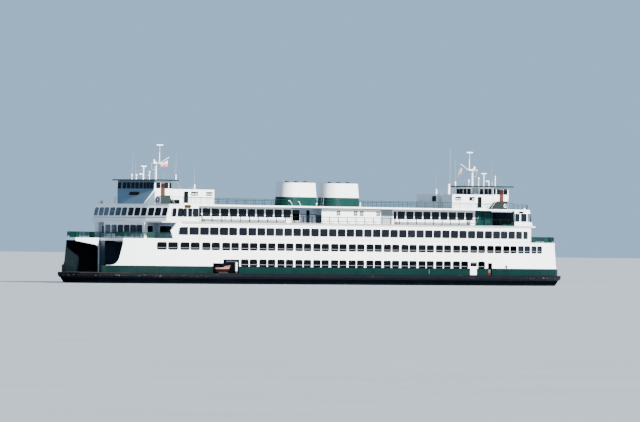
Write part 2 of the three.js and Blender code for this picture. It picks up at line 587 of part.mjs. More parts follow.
// Funnel: a long trunk with round ends that tapers upwards, with a well for the exhaust pipes.
function funnelRing(z, distanceIn) {
  const corner = FUNNEL.corner - distanceIn;
  const [halfLength, halfWidth] = [FUNNEL.length / 2 - distanceIn, FUNNEL.width / 2 - distanceIn];
  const ring = new THREE.Path();
  for (const [sideX, sideY, start] of [[1, 1, 0], [-1, 1, 1], [-1, -1, 2], [1, -1, 3]]) {
    const centre = [sideX * (halfLength - corner), sideY * (halfWidth - corner)];
    ring.absarc(...centre, corner, start * Math.PI / 2, (start + 1) * Math.PI / 2, false);
  }
  return atHeight(ring.getPoints(5).map(({ x, y }) => [x + FUNNEL.x, y]), z);
}

function makeFunnel() {
  const { topIn, top, well, rim } = FUNNEL;
  const trunk = loft([funnelRing(Z.bridge + GAP, 0), funnelRing(top, topIn)]);
  const hollow = loft([funnelRing(top - well, topIn + rim), funnelRing(top + 1, topIn + rim)]);
  const pipes = [-2.2, 0, 2.2].map((x) => post(FUNNEL.x + x, 0, top - well - SHARED_CUT, top + 0.25, 0.3));
  return join(cut(trunk, hollow), ...pipes);
}
addPair("funnel_right", "funnel_left", "white", makeFunnel());

// Propeller: a hub and four blades.
function makePropeller() {
  const { x, hubR, hubLength, r, blades } = PROPELLER;
  const hub = new THREE.CylinderGeometry(hubR, hubR * 0.8, hubLength, 12).rotateZ(Math.PI / 2).translate(x, 0, SHAFT_Z);
  const blade = new THREE.SphereGeometry(1, 10, 6).scale(0.09, 0.62, (r - 0.2) / 2);
  blade.rotateZ(THREE.MathUtils.degToRad(38)).translate(0, 0, (r + 0.2) / 2);
  const turned = Array.from({ length: blades }, (_, i) =>
    blade.clone().rotateX((i / blades) * Math.PI * 2).translate(x, 0, SHAFT_Z));
  return join(hub, ...turned);
}
addPair("propeller_right", "propeller_left", "bronze", makePropeller());

// Rudder: a streamlined blade on its stock under the counter.
function makeRudder() {
  const [x0, x1] = RUDDER.x;
  const section = (z) => [[x0, 0, z], [x0 + 0.5, -0.18, z], [x0 + 1.6, -0.2, z], [x1, 0, z], [x0 + 1.6, 0.2, z], [x0 + 0.5, 0.18, z]];
  return join(
    loft([section(RUDDER.z[0]), section(RUDDER.z[1])]),
    post(RUDDER.stockX, 0, RUDDER.z[1] - 0.3, Z.counter - GAP, RUDDER.stockR),
  );
}
addPair("rudder_right", "rudder_left", "black", makeRudder());

// Rescue boat in its bay, with a rising bow, and the davit that lifts it.
function makeBoat() {
  const { length, beam, keelZ, gunwaleZ, bowRise } = BOAT;
  const ring = (z, l, b, rise) => {
    const near = [-0.5, -0.38, 0, 0.3, 0.5];
    const breadth = [0.5, 0.5, 0.5, 0.36, 0.05];
    const side = near.map((u, i) => [u * l, -b * breadth[i], z + rise * (2 * Math.max(0, u)) ** 2]);
    return [...side, ...side.map(([x, y, height]) => [x, -y, height]).reverse()];
  };
  const chineZ = keelZ + 0.35;
  const hull = loft([
    ring(keelZ, length * 0.8, beam * 0.55, bowRise / 2), ring(chineZ, length * 0.94, beam, bowRise),
    ring(gunwaleZ, length, beam, bowRise),
  ]);
  const well = loft([ring(chineZ, length * 0.8, beam * 0.72, bowRise), ring(gunwaleZ + 0.5, length * 0.86, beam * 0.8, bowRise)]);
  return cut(hull, well).translate(BOAT.x, BOAT.y, 0);
}
addPair("rescue_boat_near", "rescue_boat_far", "orange", makeBoat());

const davit = join(
  post(DAVIT.x, DAVIT.y, Z.car + GAP, DAVIT.armZ[1], DAVIT.r),
  box([DAVIT.x - DAVIT.reach, DAVIT.x], [DAVIT.y - 0.08, DAVIT.y + 0.08], DAVIT.armZ),
);
addPair("davit_near", "davit_far", "white", davit);
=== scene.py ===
"""Looks of a double-ended car ferry, a 1:10 scale model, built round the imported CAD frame.

Sizes in this file are the real ship's, in metres, and are scaled to the model when a mesh is made.
Near is the -Y side, far the +Y side. Half a turn about Z brings the ship onto itself, so most
detail is built once, on the near side or the right end, and copied by half a turn.
"""
import math

import bmesh
import bpy
from mathutils import Matrix, Vector


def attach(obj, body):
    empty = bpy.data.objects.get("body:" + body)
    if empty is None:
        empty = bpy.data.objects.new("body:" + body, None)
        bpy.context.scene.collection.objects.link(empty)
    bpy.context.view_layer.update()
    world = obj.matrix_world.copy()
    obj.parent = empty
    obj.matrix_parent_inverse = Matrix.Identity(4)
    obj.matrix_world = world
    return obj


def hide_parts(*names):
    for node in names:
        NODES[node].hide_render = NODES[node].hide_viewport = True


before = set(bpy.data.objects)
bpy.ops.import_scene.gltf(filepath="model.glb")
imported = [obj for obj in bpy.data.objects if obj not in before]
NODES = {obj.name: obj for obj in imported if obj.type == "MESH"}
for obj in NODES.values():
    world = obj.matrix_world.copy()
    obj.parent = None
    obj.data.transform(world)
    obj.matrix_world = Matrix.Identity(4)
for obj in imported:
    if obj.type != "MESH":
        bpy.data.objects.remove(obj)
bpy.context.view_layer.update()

SCALE = 0.1

# Plan of the ship's side, as in the CAD.
HALF_BEAM = 10.8
PARALLEL_END = 27.5
FINING = 0.00206
FINING_POWER = 2.4
NOSE_START = 52.5
SHIP_TIP = 57.9
STATIONS = [27.5, 33, 38, 42.4, 46.4, 50, 52.5, 54.4, 56, 57.2, 57.9]

# Deck heights above the waterline.
Z_CAR = 1.72
Z_GREEN_TOP = 2.86
Z_CABIN = 7.2
Z_SUN = 9.95
Z_BRIDGE_UNDER = 12.45
Z_BRIDGE = 12.7
Z_BLOCK_TOP = 15.14
Z_ROOF = 16.6
PROMENADE_Y = 8.2

# Ends of the CAD's side walls, and openings in the shell.
SHELL_END = 54.4
CABIN_END = 42.4
GANGWAY = (25.76, 27.42)
DOORWAY = (30.2, 31.3)


def half_breadth(x):
    """Half breadth of the ship's side at station x."""
    x = abs(x)
    if x <= NOSE_START:
        return HALF_BEAM - FINING * max(0.0, x - PARALLEL_END) ** FINING_POWER
    nose = HALF_BEAM - FINING * (NOSE_START - PARALLEL_END) ** FINING_POWER
    return nose * math.sqrt(max(0.0, (SHIP_TIP - x) / (SHIP_TIP - NOSE_START)))


def stations_between(x0, x1, margin=0.2):
    """The CAD's stations between two ends, with both ends."""
    signed = [-x for x in reversed(STATIONS)] + STATIONS
    return [x0] + [x for x in signed if x0 + margin < x < x1 - margin] + [x1]


def side_y(x, end, out):
    """Near side's y at x on the CAD's straight chords between -end and end, moved outwards."""
    marks = stations_between(-end, end)
    x = min(max(x, marks[0]), marks[-1])
    for a, b in zip(marks, marks[1:]):
        if x <= b:
            share = (x - a) / (b - a)
            y = half_breadth(a) + (half_breadth(b) - half_breadth(a)) * share
            return -(y + out)
    return -(half_breadth(x) + out)


# Places: each turns (u, v, w) on a wall into a point, with w outwards from the wall.
def on_side(end):
    """The near side wall whose chords run between -end and end; u is x."""
    return lambda u, v, w: (u, side_y(u, end, w), v)


def on_chord(x0, x1, end, out=0.0):
    """A flat patch of the near side wall from x0 to x1, clear of the kink between them; u is x."""
    a, b = (Vector((x, side_y(x, end, out))) for x in (x0, x1))
    along = (b - a).normalized()
    outward = Vector((along.y, -along.x))
    kinks = [Vector((x, side_y(x, end, out))) for x in stations_between(x0, x1, 0.0)[1:-1]]
    clear = outward * max([0.0] + [(kink - a).dot(outward) for kink in kinks])
    return on_flat(a + clear, b + clear)


def on_flat(a, b):
    """A flat near side wall through a and b in plan; u is x."""
    a, b = Vector(a), Vector(b)
    along = (b - a).normalized()

    def place(u, v, w):
        reach = (u - w * along.y - a.x) / along.x
        point = a + along * reach + Vector((along.y, -along.x)) * w
        return (point.x, point.y, v)

    return place


def on_wall_y(y):
    """A flat wall at y that faces away from the centreline; u is x."""
    sign = 1 if y > 0 else -1
    return lambda u, v, w: (u, y + sign * w, v)


def on_wall_x(x, faces=None):
    """A flat wall at x that faces away from amidships; u is y."""
    sign = faces or (1 if x > 0 else -1)
    return lambda u, v, w: (x + sign * w, u, v)


def on_line(a, b, lean, top):
    """A wall from a to b in plan, facing right of the way there; its foot leans out along X below top."""
    ax, ay = a
    length = math.hypot(b[0] - ax, b[1] - ay)
    dx, dy = (b[0] - ax) / length, (b[1] - ay) / length
    return lambda u, v, w: (ax + dx * u + dy * w + lean * (top - v), ay + dy * u - dx * w, v)


def on_quad(a, b, c, d):
    """A leaning wall with corners a, b below and d, c above; u runs from 0 to 1 and v is height."""
    a, b, c, d = map(Vector, (a, b, c, d))
    normal = (b - a).cross(d - a).normalized()

    def place(u, v, w):
        low = a.lerp(b, u)
        high = d.lerp(c, u)
        return tuple(low.lerp(high, (v - a.z) / (d.z - a.z)) + normal * w)

    return place


def on_front(sign, low, high):
    """A leaning front at one end, from (x, z) low to (x, z) high; u is y."""
    (x0, z0), (x1, z1) = low, high
    length = math.hypot(x1 - x0, z1 - z0)
    nx, nz = (z1 - z0) / length, (x0 - x1) / length

    def place(u, v, w):
        x = x0 + (x1 - x0) * (v - z0) / (z1 - z0)
        return (sign * (x + w * nx), u, v + w * nz)

    return place


def rounded(u0, u1, v0, v1, r, steps=3, r_v=None):
    """A rectangle with rounded corners, as points; r_v is the corners' height where it differs."""
    r = min(r, (u1 - u0) / 2, (v1 - v0) / 2)
    tall = r if r_v is None else r_v
    points = []
    centres = ((u1 - r, v1 - tall), (u0 + r, v1 - tall), (u0 + r, v0 + tall), (u1 - r, v0 + tall))
    for start, (cu, cv) in zip((0, 90, 180, 270), centres):
        for i in range(steps + 1):
            angle = math.radians(start + 90 * i / steps)
            points.append((cu + r * math.cos(angle), cv + tall * math.sin(angle)))
    return points


def widened(points, by):
    """An outline grown from its middle by a distance, or shrunk where it is negative."""
    us, vs = [u for u, v in points], [v for u, v in points]
    mid_u, mid_v = (min(us) + max(us)) / 2, (min(vs) + max(vs)) / 2
    grow_u = 1 + by / ((max(us) - min(us)) / 2)
    grow_v = 1 + by / ((max(vs) - min(vs)) / 2)
    return [(mid_u + (u - mid_u) * grow_u, mid_v + (v - mid_v) * grow_v) for u, v in points]


class Soup:
    """Closed solids gathered into one mesh."""

    def __init__(self):
        self.verts = []
        self.faces = []

    def loft(self, rings):
        """A closed solid through rings of points, with flat ends."""
        start, count = len(self.verts), len(rings[0])
        for ring in rings:
            self.verts += [tuple(p) for p in ring]
        for r in range(len(rings) - 1):
            for i in range(count):
                j = (i + 1) % count
                a, b = start + r * count, start + (r + 1) * count
                self.faces.append((a + i, a + j, b + j, b + i))
        self.faces.append(tuple(reversed(range(start, start + count))))
        self.faces.append(tuple(range(start + (len(rings) - 1) * count, start + len(rings) * count)))

    def slab(self, outline, w0, w1, place):
        """An outline on a wall, made into a plate from depth w0 to w1."""
        self.loft([[place(u, v, w) for u, v in outline] for w in (w0, w1)])

    def plate(self, u, v, w, place):
        """A rectangle on a wall between two u, two v and two depths."""
        self.slab([(u[0], v[0]), (u[1], v[0]), (u[1], v[1]), (u[0], v[1])], w[0], w[1], place)

    def rim(self, outer, inner, w0, w1, place):
        """A frame between two outlines of as many points, from depth w0 to w1."""
        start, count = len(self.verts), len(outer)
        for w in (w0, w1):
            for ring in (outer, inner):
                self.verts += [tuple(place(u, v, w)) for u, v in ring]
        ob, ib, of, inf = (start + k * count for k in range(4))
        for i in range(count):
            j = (i + 1) % count
            self.faces += [
                (ob + i, ob + j, of + j, of + i),
                (ib + i, inf + i, inf + j, ib + j),
                (of + i, of + j, inf + j, inf + i),
                (ob + i, ib + i, ib + j, ob + j),
            ]

    def box(self, x, y, z):
        """A block between two x, two y and two z."""
        corners = [(x[0], y[0]), (x[1], y[0]), (x[1], y[1]), (x[0], y[1])]
        self.loft([[(a, b, h) for a, b in corners] for h in z])

    def bar(self, a, b, r, sides=6, r2=None):
        """A round bar from a to b."""
        a, b = Vector(a), Vector(b)
        along = (b - a).normalized()
        across = along.cross(Vector((0, 0, 1)) if abs(along.z) < 0.9 else Vector((1, 0, 0))).normalized()
        other = along.cross(across)
        rings = []
        for centre, radius in ((a, r), (b, r if r2 is None else r2)):
            turn = [2 * math.pi * (i + 0.5) / sides for i in range(sides)]
            rings.append([centre + (across * math.cos(t) + other * math.sin(t)) * radius for t in turn])
        self.loft(rings)

    def path(self, points, r):
        """A bent bar through points."""
        for a, b in zip(points, points[1:]):
            self.bar(a, b, r)

    def lathe(self, centre, profile, sides=12):
        """A solid of revolution about Z; profile is (radius, height) pairs from the foot up."""
        x, y, z = centre
        turn = [2 * math.pi * i / sides for i in range(sides)]
        self.loft([[(x + r * math.cos(t), y + r * math.sin(t), z + h) for t in turn] for r, h in profile])

    def ball(self, centre, r):
        """A ball whose poles are cut flat, at a latitude in degrees."""
        steps, pole = 8, 84
        turns = [math.radians(-pole + 2 * pole * i / steps) for i in range(steps + 1)]
        self.lathe(centre, [(r * math.cos(t), r * math.sin(t)) for t in turns])

    def ring(self, centre, r, tube, place):
        """A round ring flat against a wall."""
        (cu, cv), start = centre, len(self.verts)
        steps, sides = 18, 6
        for i in range(steps):
            t = 2 * math.pi * i / steps
            for k in range(sides):
                s = 2 * math.pi * k / sides
                reach, w = r + tube * math.cos(s), tube * (1 + math.sin(s))
                self.verts.append(place(cu + reach * math.cos(t), cv + reach * math.sin(t), w))
        for i in range(steps):
            for k in range(sides):
                a, b = start + i * sides, start + (i + 1) % steps * sides
                m = (k + 1) % sides
                self.faces.append((a + k, a + m, b + m, b + k))

    def twin(self):
        """Adds the copy turned half round about Z."""
        start = len(self.verts)
        self.verts += [(-x, -y, z) for x, y, z in self.verts]
        self.faces += [tuple(start + i for i in face) for face in self.faces]
        return self

    def make(self, name, material, smooth=False):
        """The mesh object, riding on the ship."""
        mesh = bpy.data.meshes.new(name)
        mesh.from_pydata([Vector(v) * SCALE for v in self.verts], [], self.faces)
        shape = bmesh.new()
        shape.from_mesh(mesh)
        bmesh.ops.recalc_face_normals(shape, faces=shape.faces)
        shape.to_mesh(mesh)
        shape.free()
        obj = bpy.data.objects.new(name, mesh)
        bpy.context.scene.collection.objects.link(obj)
        mesh.materials.append(material)
        if smooth:
            mesh.shade_smooth()
            mesh.set_sharp_from_angle(angle=math.radians(40))
        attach(obj, "ship")


# Colours of paints, each with the shade that lies on it in soft patches.
WHITE = (0.93, 0.94, 0.94), (0.88, 0.89, 0.895)
GREEN = (0.0008, 0.0105, 0.0092), (0.0014, 0.0135, 0.012)
MESH_GREEN = (0.0025, 0.022, 0.0195), (0.004, 0.029, 0.025)
FUNNEL_GREEN = (0.0035, 0.030, 0.0255), (0.005, 0.036, 0.031)
ROOF_GREEN = (0.007, 0.030, 0.028), (0.010, 0.037, 0.035)
# Painted shade: the dim car deck, the undersides over it, and its lanes.
INSIDE_SHADE = (0.014, 0.020, 0.028), (0.020, 0.028, 0.038)
LANE_SHADE = (0.034, 0.046, 0.054), (0.046, 0.060, 0.070)
# Painted shade: slate blue for the leaning wheelhouse fronts, blue-grey for the cabin walls that stand back
# at the ends.
SLATE_SHADE = (0.094, 0.164, 0.226), (0.118, 0.194, 0.256)
RECESS_SHADE_BLUE = (0.34, 0.41, 0.48), (0.38, 0.45, 0.52)
DECK = (0.060, 0.075, 0.075), (0.095, 0.105, 0.105)
ANTIFOULING = (0.10, 0.022, 0.016), (0.055, 0.018, 0.014)
# Colours that lie over paint in runs and rubs.
GRIME = (0.33, 0.27, 0.21)
GREEN_GRIME = (0.07, 0.08, 0.065)
DECK_WEAR = (0.15, 0.14, 0.13)

# Where paints change, in the model's metres.
SEAM_WIDTH = 0.012 * SCALE
BENCH_SEAT_TOP = 1.0425
ROOF_PAINT_TOP = 1.664
FUNNEL_GREEN_TOP, FUNNEL_RIM = 1.425, 1.6575
DOOR_PANE_FOOT = 1.528
BOAT_HULL_TOP = 0.244
DAVIT_FOOT_TOP, DAVIT_ARM_FOOT = 0.212, 0.35
PROMENADE_SHADOW_FOOT = 1.095
ANTIFOULING_TOP = -0.008


# Materials. Each is made of nodes over object coordinates, in the model's metres.
class Mat:
    """A node material with a principled shader."""

    def __init__(self, name, rough=0.5, metal=0.0, specular=0.5):
        self.mat = bpy.data.materials.new(name)
        self.mat.use_nodes = True
        self.tree = self.mat.node_tree
        self.shader = self.tree.nodes["Principled BSDF"]
        self.shader.inputs["Roughness"].default_value = rough
        self.shader.inputs["Metallic"].default_value = metal
        self.shader.inputs["Specular IOR Level"].default_value = specular
        self.place = self.node("ShaderNodeTexCoord").outputs["Object"]

    def node(self, kind, **values):
        """A new node with values on its inputs or settings."""
        made = self.tree.nodes.new(kind)
        for key, value in values.items():
            if key in made.inputs:
                made.inputs[key].default_value = value
            else:
                setattr(made, key, value)
        return made

    def link(self, a, b):
        self.tree.links.new(a, b)

    def noise(self, scale, detail=4.0, rough=0.55, stretch=(1, 1, 1)):
        """Noise over coordinates scaled by stretch along the axes."""
        mapping = self.node("ShaderNodeMapping", Scale=stretch)
        self.link(self.place, mapping.inputs["Vector"])
        made = self.node("ShaderNodeTexNoise", Scale=scale, Detail=detail, Roughness=rough)
        self.link(mapping.outputs["Vector"], made.inputs["Vector"])
        return made.outputs["Fac"]

    def band(self, value, low, high):
        """Value mapped from low..high to 0..1."""
        ramp = self.node("ShaderNodeMapRange")
        ramp.inputs["From Min"].default_value = low
        ramp.inputs["From Max"].default_value = high
        self.link(value, ramp.inputs["Value"])
        return ramp.outputs["Result"]

    def within(self, value, a, b, c, d):
        """1 where a value lies from b to c, fading to 0 at a and at d."""
        return self.product(self.band(value, a, b), self.band(value, d, c))

    def axis(self, name, source=None):
        """One part of the position, or of another vector."""
        split = self.node("ShaderNodeSeparateXYZ")
        self.link(source or self.place, split.inputs["Vector"])
        return split.outputs[name]

    def reach(self, name):
        """Distance from the ship's middle along an axis."""
        return self.math("ABSOLUTE", self.axis(name))

    def facing(self, name):
        """One part of the flat face's normal."""
        return self.axis(name, self.node("ShaderNodeNewGeometry").outputs["True Normal"])

    def math(self, kind, a, b=0.0):
        """A math node's result; a and b are numbers or sockets."""
        made = self.node("ShaderNodeMath", operation=kind)
        for socket, value in zip(made.inputs, (a, b)):
            if isinstance(value, (int, float)):
                socket.default_value = value
            else:
                self.link(value, socket)
        return made.outputs[0]

    def product(self, value, *others):
        """All the values multiplied."""
        for other in others:
            value = self.math("MULTIPLY", value, other)
        return value

    def mix(self, share, a, b):
        """A colour between a and b; each is a colour or a socket."""
        made = self.node("ShaderNodeMix", data_type="RGBA")
        for socket, value in ((made.inputs["Factor"], share), (made.inputs[6], a), (made.inputs[7], b)):
            if isinstance(value, tuple):
                socket.default_value = (*value, 1)
            else:
                self.link(value, socket)
        return made.outputs[2]

    def over(self, painted, colour, *shares):
        """Paint with a colour laid over it, by the product of the shares."""
        return self.mix(self.product(*shares), painted, colour)

    def mottled(self, base, shade, scale=9.0, detail=5.0):
        """Two close colours in soft patches."""
        return self.mix(self.band(self.noise(scale, detail), 0.35, 0.7), base, shade)

    def colour(self, value):
        self.link(value, self.shader.inputs["Base Color"])
        return self

    def rough(self, value, low, high):
        """Roughness from low to high by a value."""
        ramp = self.node("ShaderNodeMapRange")
        ramp.inputs["To Min"].default_value = low
        ramp.inputs["To Max"].default_value = high
        self.link(value, ramp.inputs["Value"])
        self.link(ramp.outputs["Result"], self.shader.inputs["Roughness"])
        return self

    def bump(self, value, strength, distance=0.002):
        made = self.node("ShaderNodeBump", Strength=strength, Distance=distance)
        self.link(value, made.inputs["Height"])
        self.link(made.outputs["Normal"], self.shader.inputs["Normal"])
        return self

    def seams(self, width, height):
        """1 on the welded seams of upright steel plates of a width and height in the real ship's metres."""
        joined = self.node("ShaderNodeCombineXYZ")
        self.link(self.math("ADD", self.axis("X"), self.axis("Y")), joined.inputs["X"])
        self.link(self.axis("Z"), joined.inputs["Y"])
        brick = self.node("ShaderNodeTexBrick", Scale=1.0)
        brick.inputs["Brick Width"].default_value = width * SCALE
        brick.inputs["Row Height"].default_value = height * SCALE
        brick.inputs["Mortar Size"].default_value = SEAM_WIDTH
        brick.inputs["Mortar Smooth"].default_value = 1.0
        self.link(joined.outputs["Vector"], brick.inputs["Vector"])
        return brick.outputs["Fac"]

    def weathered(self, base, shade, grime=GRIME, plates=(4.24, 2.6), rough=0.45):
        """Mottled paint with runs of grime over welded plates; returns its colour."""
        mottle = self.band(self.noise(9.0, 5.0), 0.35, 0.7)
        runs = self.band(self.noise(7.0, 6.0, 0.6, stretch=(1, 1, 0.07)), 0.55, 0.8)
        patches = self.band(self.noise(2.3, 3.0), 0.42, 0.66)
        seams = self.seams(*plates)
        painted = self.over(self.mix(mottle, base, shade), grime, runs, patches, 0.3)
        painted = self.over(painted, grime, seams, 0.14)
        self.rough(mottle, rough - 0.08, rough + 0.1)
        dents = self.product(self.noise(3.5, 2.0), 0.5)
        self.bump(self.math("SUBTRACT", dents, self.product(seams, 0.3)), 0.2, 0.0015)
        return painted

    def worn_deck(self, strength):
        """Deck paint, rubbed in streaks along the ship."""
        worn = self.band(self.noise(9.0, 8.0, 0.7, stretch=(0.25, 1, 1)), 0.55, 0.75)
        return self.over(self.mottled(*DECK, 3.0, 6.0), DECK_WEAR, worn, strength)

    def above(self, height, low, high, soft=0.0006):
        """Colour low below a height in model metres, and high above it."""
        return self.mix(self.band(self.axis("Z"), height - soft, height + soft), low, high)

    def outward(self):
        """1 where a wall faces away from the ship's centre plane."""
        return self.band(self.product(self.facing("Y"), self.axis("Y")), 0.03, 0.05)


def white_paint():
    m = Mat("white_paint")
    return m.colour(m.weathered(*WHITE)).mat


def wheelhouse_paint_front_shade():
    """White, with slate blue painted shade on the leaning fronts, which also stands in for their reflection
    of the dark below.
    """
    m = Mat("wheelhouse_paint_front_shade")
    leaning = m.band(m.math("ABSOLUTE", m.facing("X")), 0.5, 0.6)
    front = m.product(m.band(m.reach("X"), 4.25, 4.256), leaning)
    return m.colour(m.mix(front, m.weathered(*WHITE), m.mottled(*SLATE_SHADE))).mat


def cabin_paint_recess_shade():
    """White, with blue-grey painted shade on the walls that stand back from the wings and the end."""
    m = Mat("cabin_paint_recess_shade")
    back = m.within(m.reach("X"), 4.232, 4.236, 4.450, 4.455)
    back = m.product(back, m.band(m.reach("Y"), 0.86, 0.85))
    return m.colour(m.mix(back, m.weathered(*WHITE), m.mottled(*RECESS_SHADE_BLUE))).mat


def green_paint(name, base, shade):
    m = Mat(name, specular=0.08)
    return m.colour(m.weathered(base, shade, GREEN_GRIME, rough=0.5)).mat


def shell_paint_inside_shade():
    """White above the bulwark's top and green below it, with a painted shadow line along the green's top;
    inside and on its edges, painted shade, darkest at the ends.
    """
    m = Mat("shell_paint_inside_shade", specular=0.05)
    scuffs = m.band(m.noise(14.0, 8.0, 0.65, stretch=(0.35, 1, 1.6)), 0.62, 0.78)
    low = m.over(m.mottled(*GREEN, 6.0), (0.02, 0.035, 0.032), scuffs, 0.2)
    # A painted shadow line, near black, along the top of the green under the white.
    low = m.above((Z_GREEN_TOP - 0.1) * SCALE, low, (0.0004, 0.004, 0.0035))
    painted = m.above(Z_GREEN_TOP * SCALE, low, m.weathered(*WHITE))
    # Painted shade on the inner faces and edges, for the dim lanes, darker still at the ends.
    ends = m.mottled((0.004, 0.007, 0.009), (0.006, 0.010, 0.013))
    inside = m.mix(m.band(m.reach("X"), 4.5, 4.8), m.mottled(*LANE_SHADE), ends)
    return m.colour(m.mix(m.outward(), inside, painted)).mat


def casing_paint_and_shade():
    """Dull blue painted shade for the dim car deck, darker towards the ends, and white on the plates that
    carry the end decks.
    """
    m = Mat("casing_paint_and_shade")
    middle = m.mottled((0.060, 0.090, 0.130), (0.080, 0.115, 0.160), 5.0)
    outer = m.mottled((0.028, 0.044, 0.068), (0.038, 0.060, 0.090), 5.0)
    lane_shade_mix = m.mix(m.band(m.reach("X"), 4.4, 4.55), middle, outer)
    m.bump(m.seams(2.4, 2.4), 0.3)
    return m.colour(m.mix(m.band(m.reach("X"), 4.652, 4.656), lane_shade_mix, m.mottled(*WHITE))).mat


def decked(name, below, edge=WHITE):
    """Deck paint on top, another colour below, and white or another paint on the edge; a dark colour there is
    painted shade.
    """
    m = Mat(name, 0.6)
    sides = m.mix(m.band(m.facing("Z"), 0.69, 0.71), m.weathered(*edge), m.worn_deck(0.35))
    return m.colour(m.mix(m.band(m.facing("Z"), -0.69, -0.71), sides, below[0])).mat


def sun_house_paint_and_shade():
    """White walls, with painted shade in the shelter and a green end to the promenade beside it, both dull;
    the green is painted darker below the deck's shadow line, where the sun falls, and paler above it.
    """
    m = Mat("sun_house_paint_and_shade")
    along = m.product(m.axis("X"), m.math("SIGN", m.axis("Y")))
    off_centre = m.reach("Y")
    shelter = m.within(along, -3.744, -3.740, -3.408, -3.404)
    shelter = m.product(shelter, m.within(off_centre, 0.47, 0.48, 0.998, 0.9985))
    # Painted shade: dark blue-green in the open shelter.
    painted = m.mix(shelter, m.weathered(*WHITE), m.mottled((0.020, 0.040, 0.054), (0.030, 0.056, 0.070)))
    strip = m.within(along, -3.413, -3.411, -2.977, -2.975)
    strip = m.product(strip, m.within(off_centre, 0.79, 0.80, 0.825, 0.835))
    # Lit and shaded copies of the green: darker where the sun falls, paler in the deck's shadow above.
    lit = m.mottled((0.0045, 0.024, 0.023), (0.006, 0.030, 0.028))
    shady = m.mottled((0.012, 0.060, 0.057), (0.016, 0.070, 0.066))
    dull = m.product(m.math("ADD", strip, shelter), 0.47)
    m.link(m.math("SUBTRACT", 0.5, dull), m.shader.inputs["Specular IOR Level"])
    return m.colour(m.mix(strip, painted, m.above(PROMENADE_SHADOW_FOOT, lit, shady))).mat


def bench_paint_seat_shade():
    """Grey-green seat under a white back; the seat's grey is partly painted shade."""
    m = Mat("bench_paint_seat_shade", 0.55)
    seat = m.mottled((0.20, 0.25, 0.24), (0.26, 0.31, 0.30))
    m.bump(m.noise(60.0), 0.1, 0.0006)
    return m.colour(m.above(BENCH_SEAT_TOP, seat, m.mottled(*WHITE))).mat


def roof_paint():
    """Green roof whose radar stand is white."""
    m = Mat("roof_paint", 0.6, specular=0.05)
    m.bump(m.noise(40.0, 4.0), 0.15, 0.0008)
    return m.colour(m.above(ROOF_PAINT_TOP, m.mottled(*ROOF_GREEN), m.mottled(*WHITE))).mat


def grating_paint(name, pale, dark):
    """Screen of upright slats."""
    m = Mat(name, 0.6, specular=0.2)
    slats = m.band(m.math("FRACT", m.product(m.axis("X"), 70.0)), 0.45, 0.55)
    m.bump(slats, 0.4, 0.001)
    return m.colour(m.mix(slats, pale, dark)).mat


def funnel_paint():
    """White round the top, green below, with soot under the dark rim."""
    m = Mat("funnel_paint", specular=0.08)
    sooty = m.band(m.noise(5.0, 6.0, 0.6, stretch=(1, 1, 0.25)), 0.5, 0.8)
    painted = m.weathered(*WHITE, plates=(2.2, 1.9))
    painted = m.over(painted, (0.10, 0.10, 0.10), sooty, m.band(m.axis("Z"), 1.61, 1.66), 0.6)
    painted = m.above(FUNNEL_RIM, painted, (0.035, 0.035, 0.04))
    return m.colour(m.above(FUNNEL_GREEN_TOP, m.mottled(*FUNNEL_GREEN, 5.0), painted)).mat


def hull_paint():
    """Near-black topside with scrapes, a weedy waterline, and antifouling under water."""
    m = Mat("hull_paint", 0.7, specular=0.0)
    mottle = m.band(m.noise(4.0, 6.0), 0.35, 0.7)
    painted = m.mix(mottle, (0.0006, 0.0013, 0.0032), (0.0012, 0.0024, 0.0048))
    scrapes = m.band(m.noise(10.0, 8.0, 0.7, stretch=(0.2, 0.2, 1.6)), 0.62, 0.8)
    painted = m.over(painted, (0.02, 0.02, 0.022), scrapes, 0.2)
    weed = m.band(m.noise(22.0, 6.0), 0.3, 0.7)
    painted = m.over(painted, (0.02, 0.026, 0.012), m.band(m.axis("Z"), 0.035, 0.0), weed, 0.6)
    m.rough(mottle, 0.45, 0.7)
    m.bump(m.math("ADD", m.noise(2.5, 3.0), m.product(m.seams(6.0, 2.2), -0.3)), 0.35, 0.003)
    return m.colour(m.above(ANTIFOULING_TOP, m.mottled(*ANTIFOULING, 6.0, 6.0), painted, 0.004)).mat


def guard_paint():
    """Dark guard belt with pale rubs and rust, flaked towards the ends, brown on the noses' top edge."""
    m = Mat("guard_paint", 0.7, specular=0.06)
    painted = m.mottled((0.0017, 0.0023, 0.0038), (0.0027, 0.0035, 0.0054), 12.0, 6.0)
    rubs = m.band(m.noise(16.0, 9.0, 0.7, stretch=(0.18, 0.18, 1.5)), 0.6, 0.74)
    painted = m.over(painted, (0.07, 0.07, 0.075), rubs, 0.25)
    flakes = m.band(m.noise(26.0, 8.0, 0.7, stretch=(0.5, 0.5, 1.0)), 0.57, 0.62)
    ends = m.band(m.reach("X"), 3.6, 4.8)
    middle = m.within(m.axis("Z"), 0.108, 0.114, 0.136, 0.142)
    painted = m.over(painted, (0.30, 0.27, 0.26), flakes, ends, middle, 0.45)
    rust = m.band(m.noise(8.0, 8.0, 0.7, stretch=(0.4, 0.4, 0.9)), 0.6, 0.75)
    painted = m.over(painted, (0.07, 0.030, 0.018), rust, 0.3)
    edge = m.band(m.axis("Z"), 0.158, 0.166)
    painted = m.over(painted, (0.09, 0.058, 0.05), edge, m.band(m.reach("X"), 5.0, 5.25), 0.18)
    m.rough(rubs, 0.6, 0.85)
    return m.colour(painted).bump(m.noise(30.0, 6.0), 0.4).mat


def deck_paint():
    """Gritty non-slip deck paint, worn where wheels and feet go, and dark on its upright faces."""
    m = Mat("deck_paint", 0.85, specular=0.3)
    upright = m.mottled((0.003, 0.004, 0.0045), (0.006, 0.007, 0.0075))
    m.colour(m.mix(m.band(m.facing("Z"), 0.5, 0.7), upright, m.worn_deck(0.4)))
    return m.bump(m.noise(160.0, 2.0), 0.5, 0.0012).mat


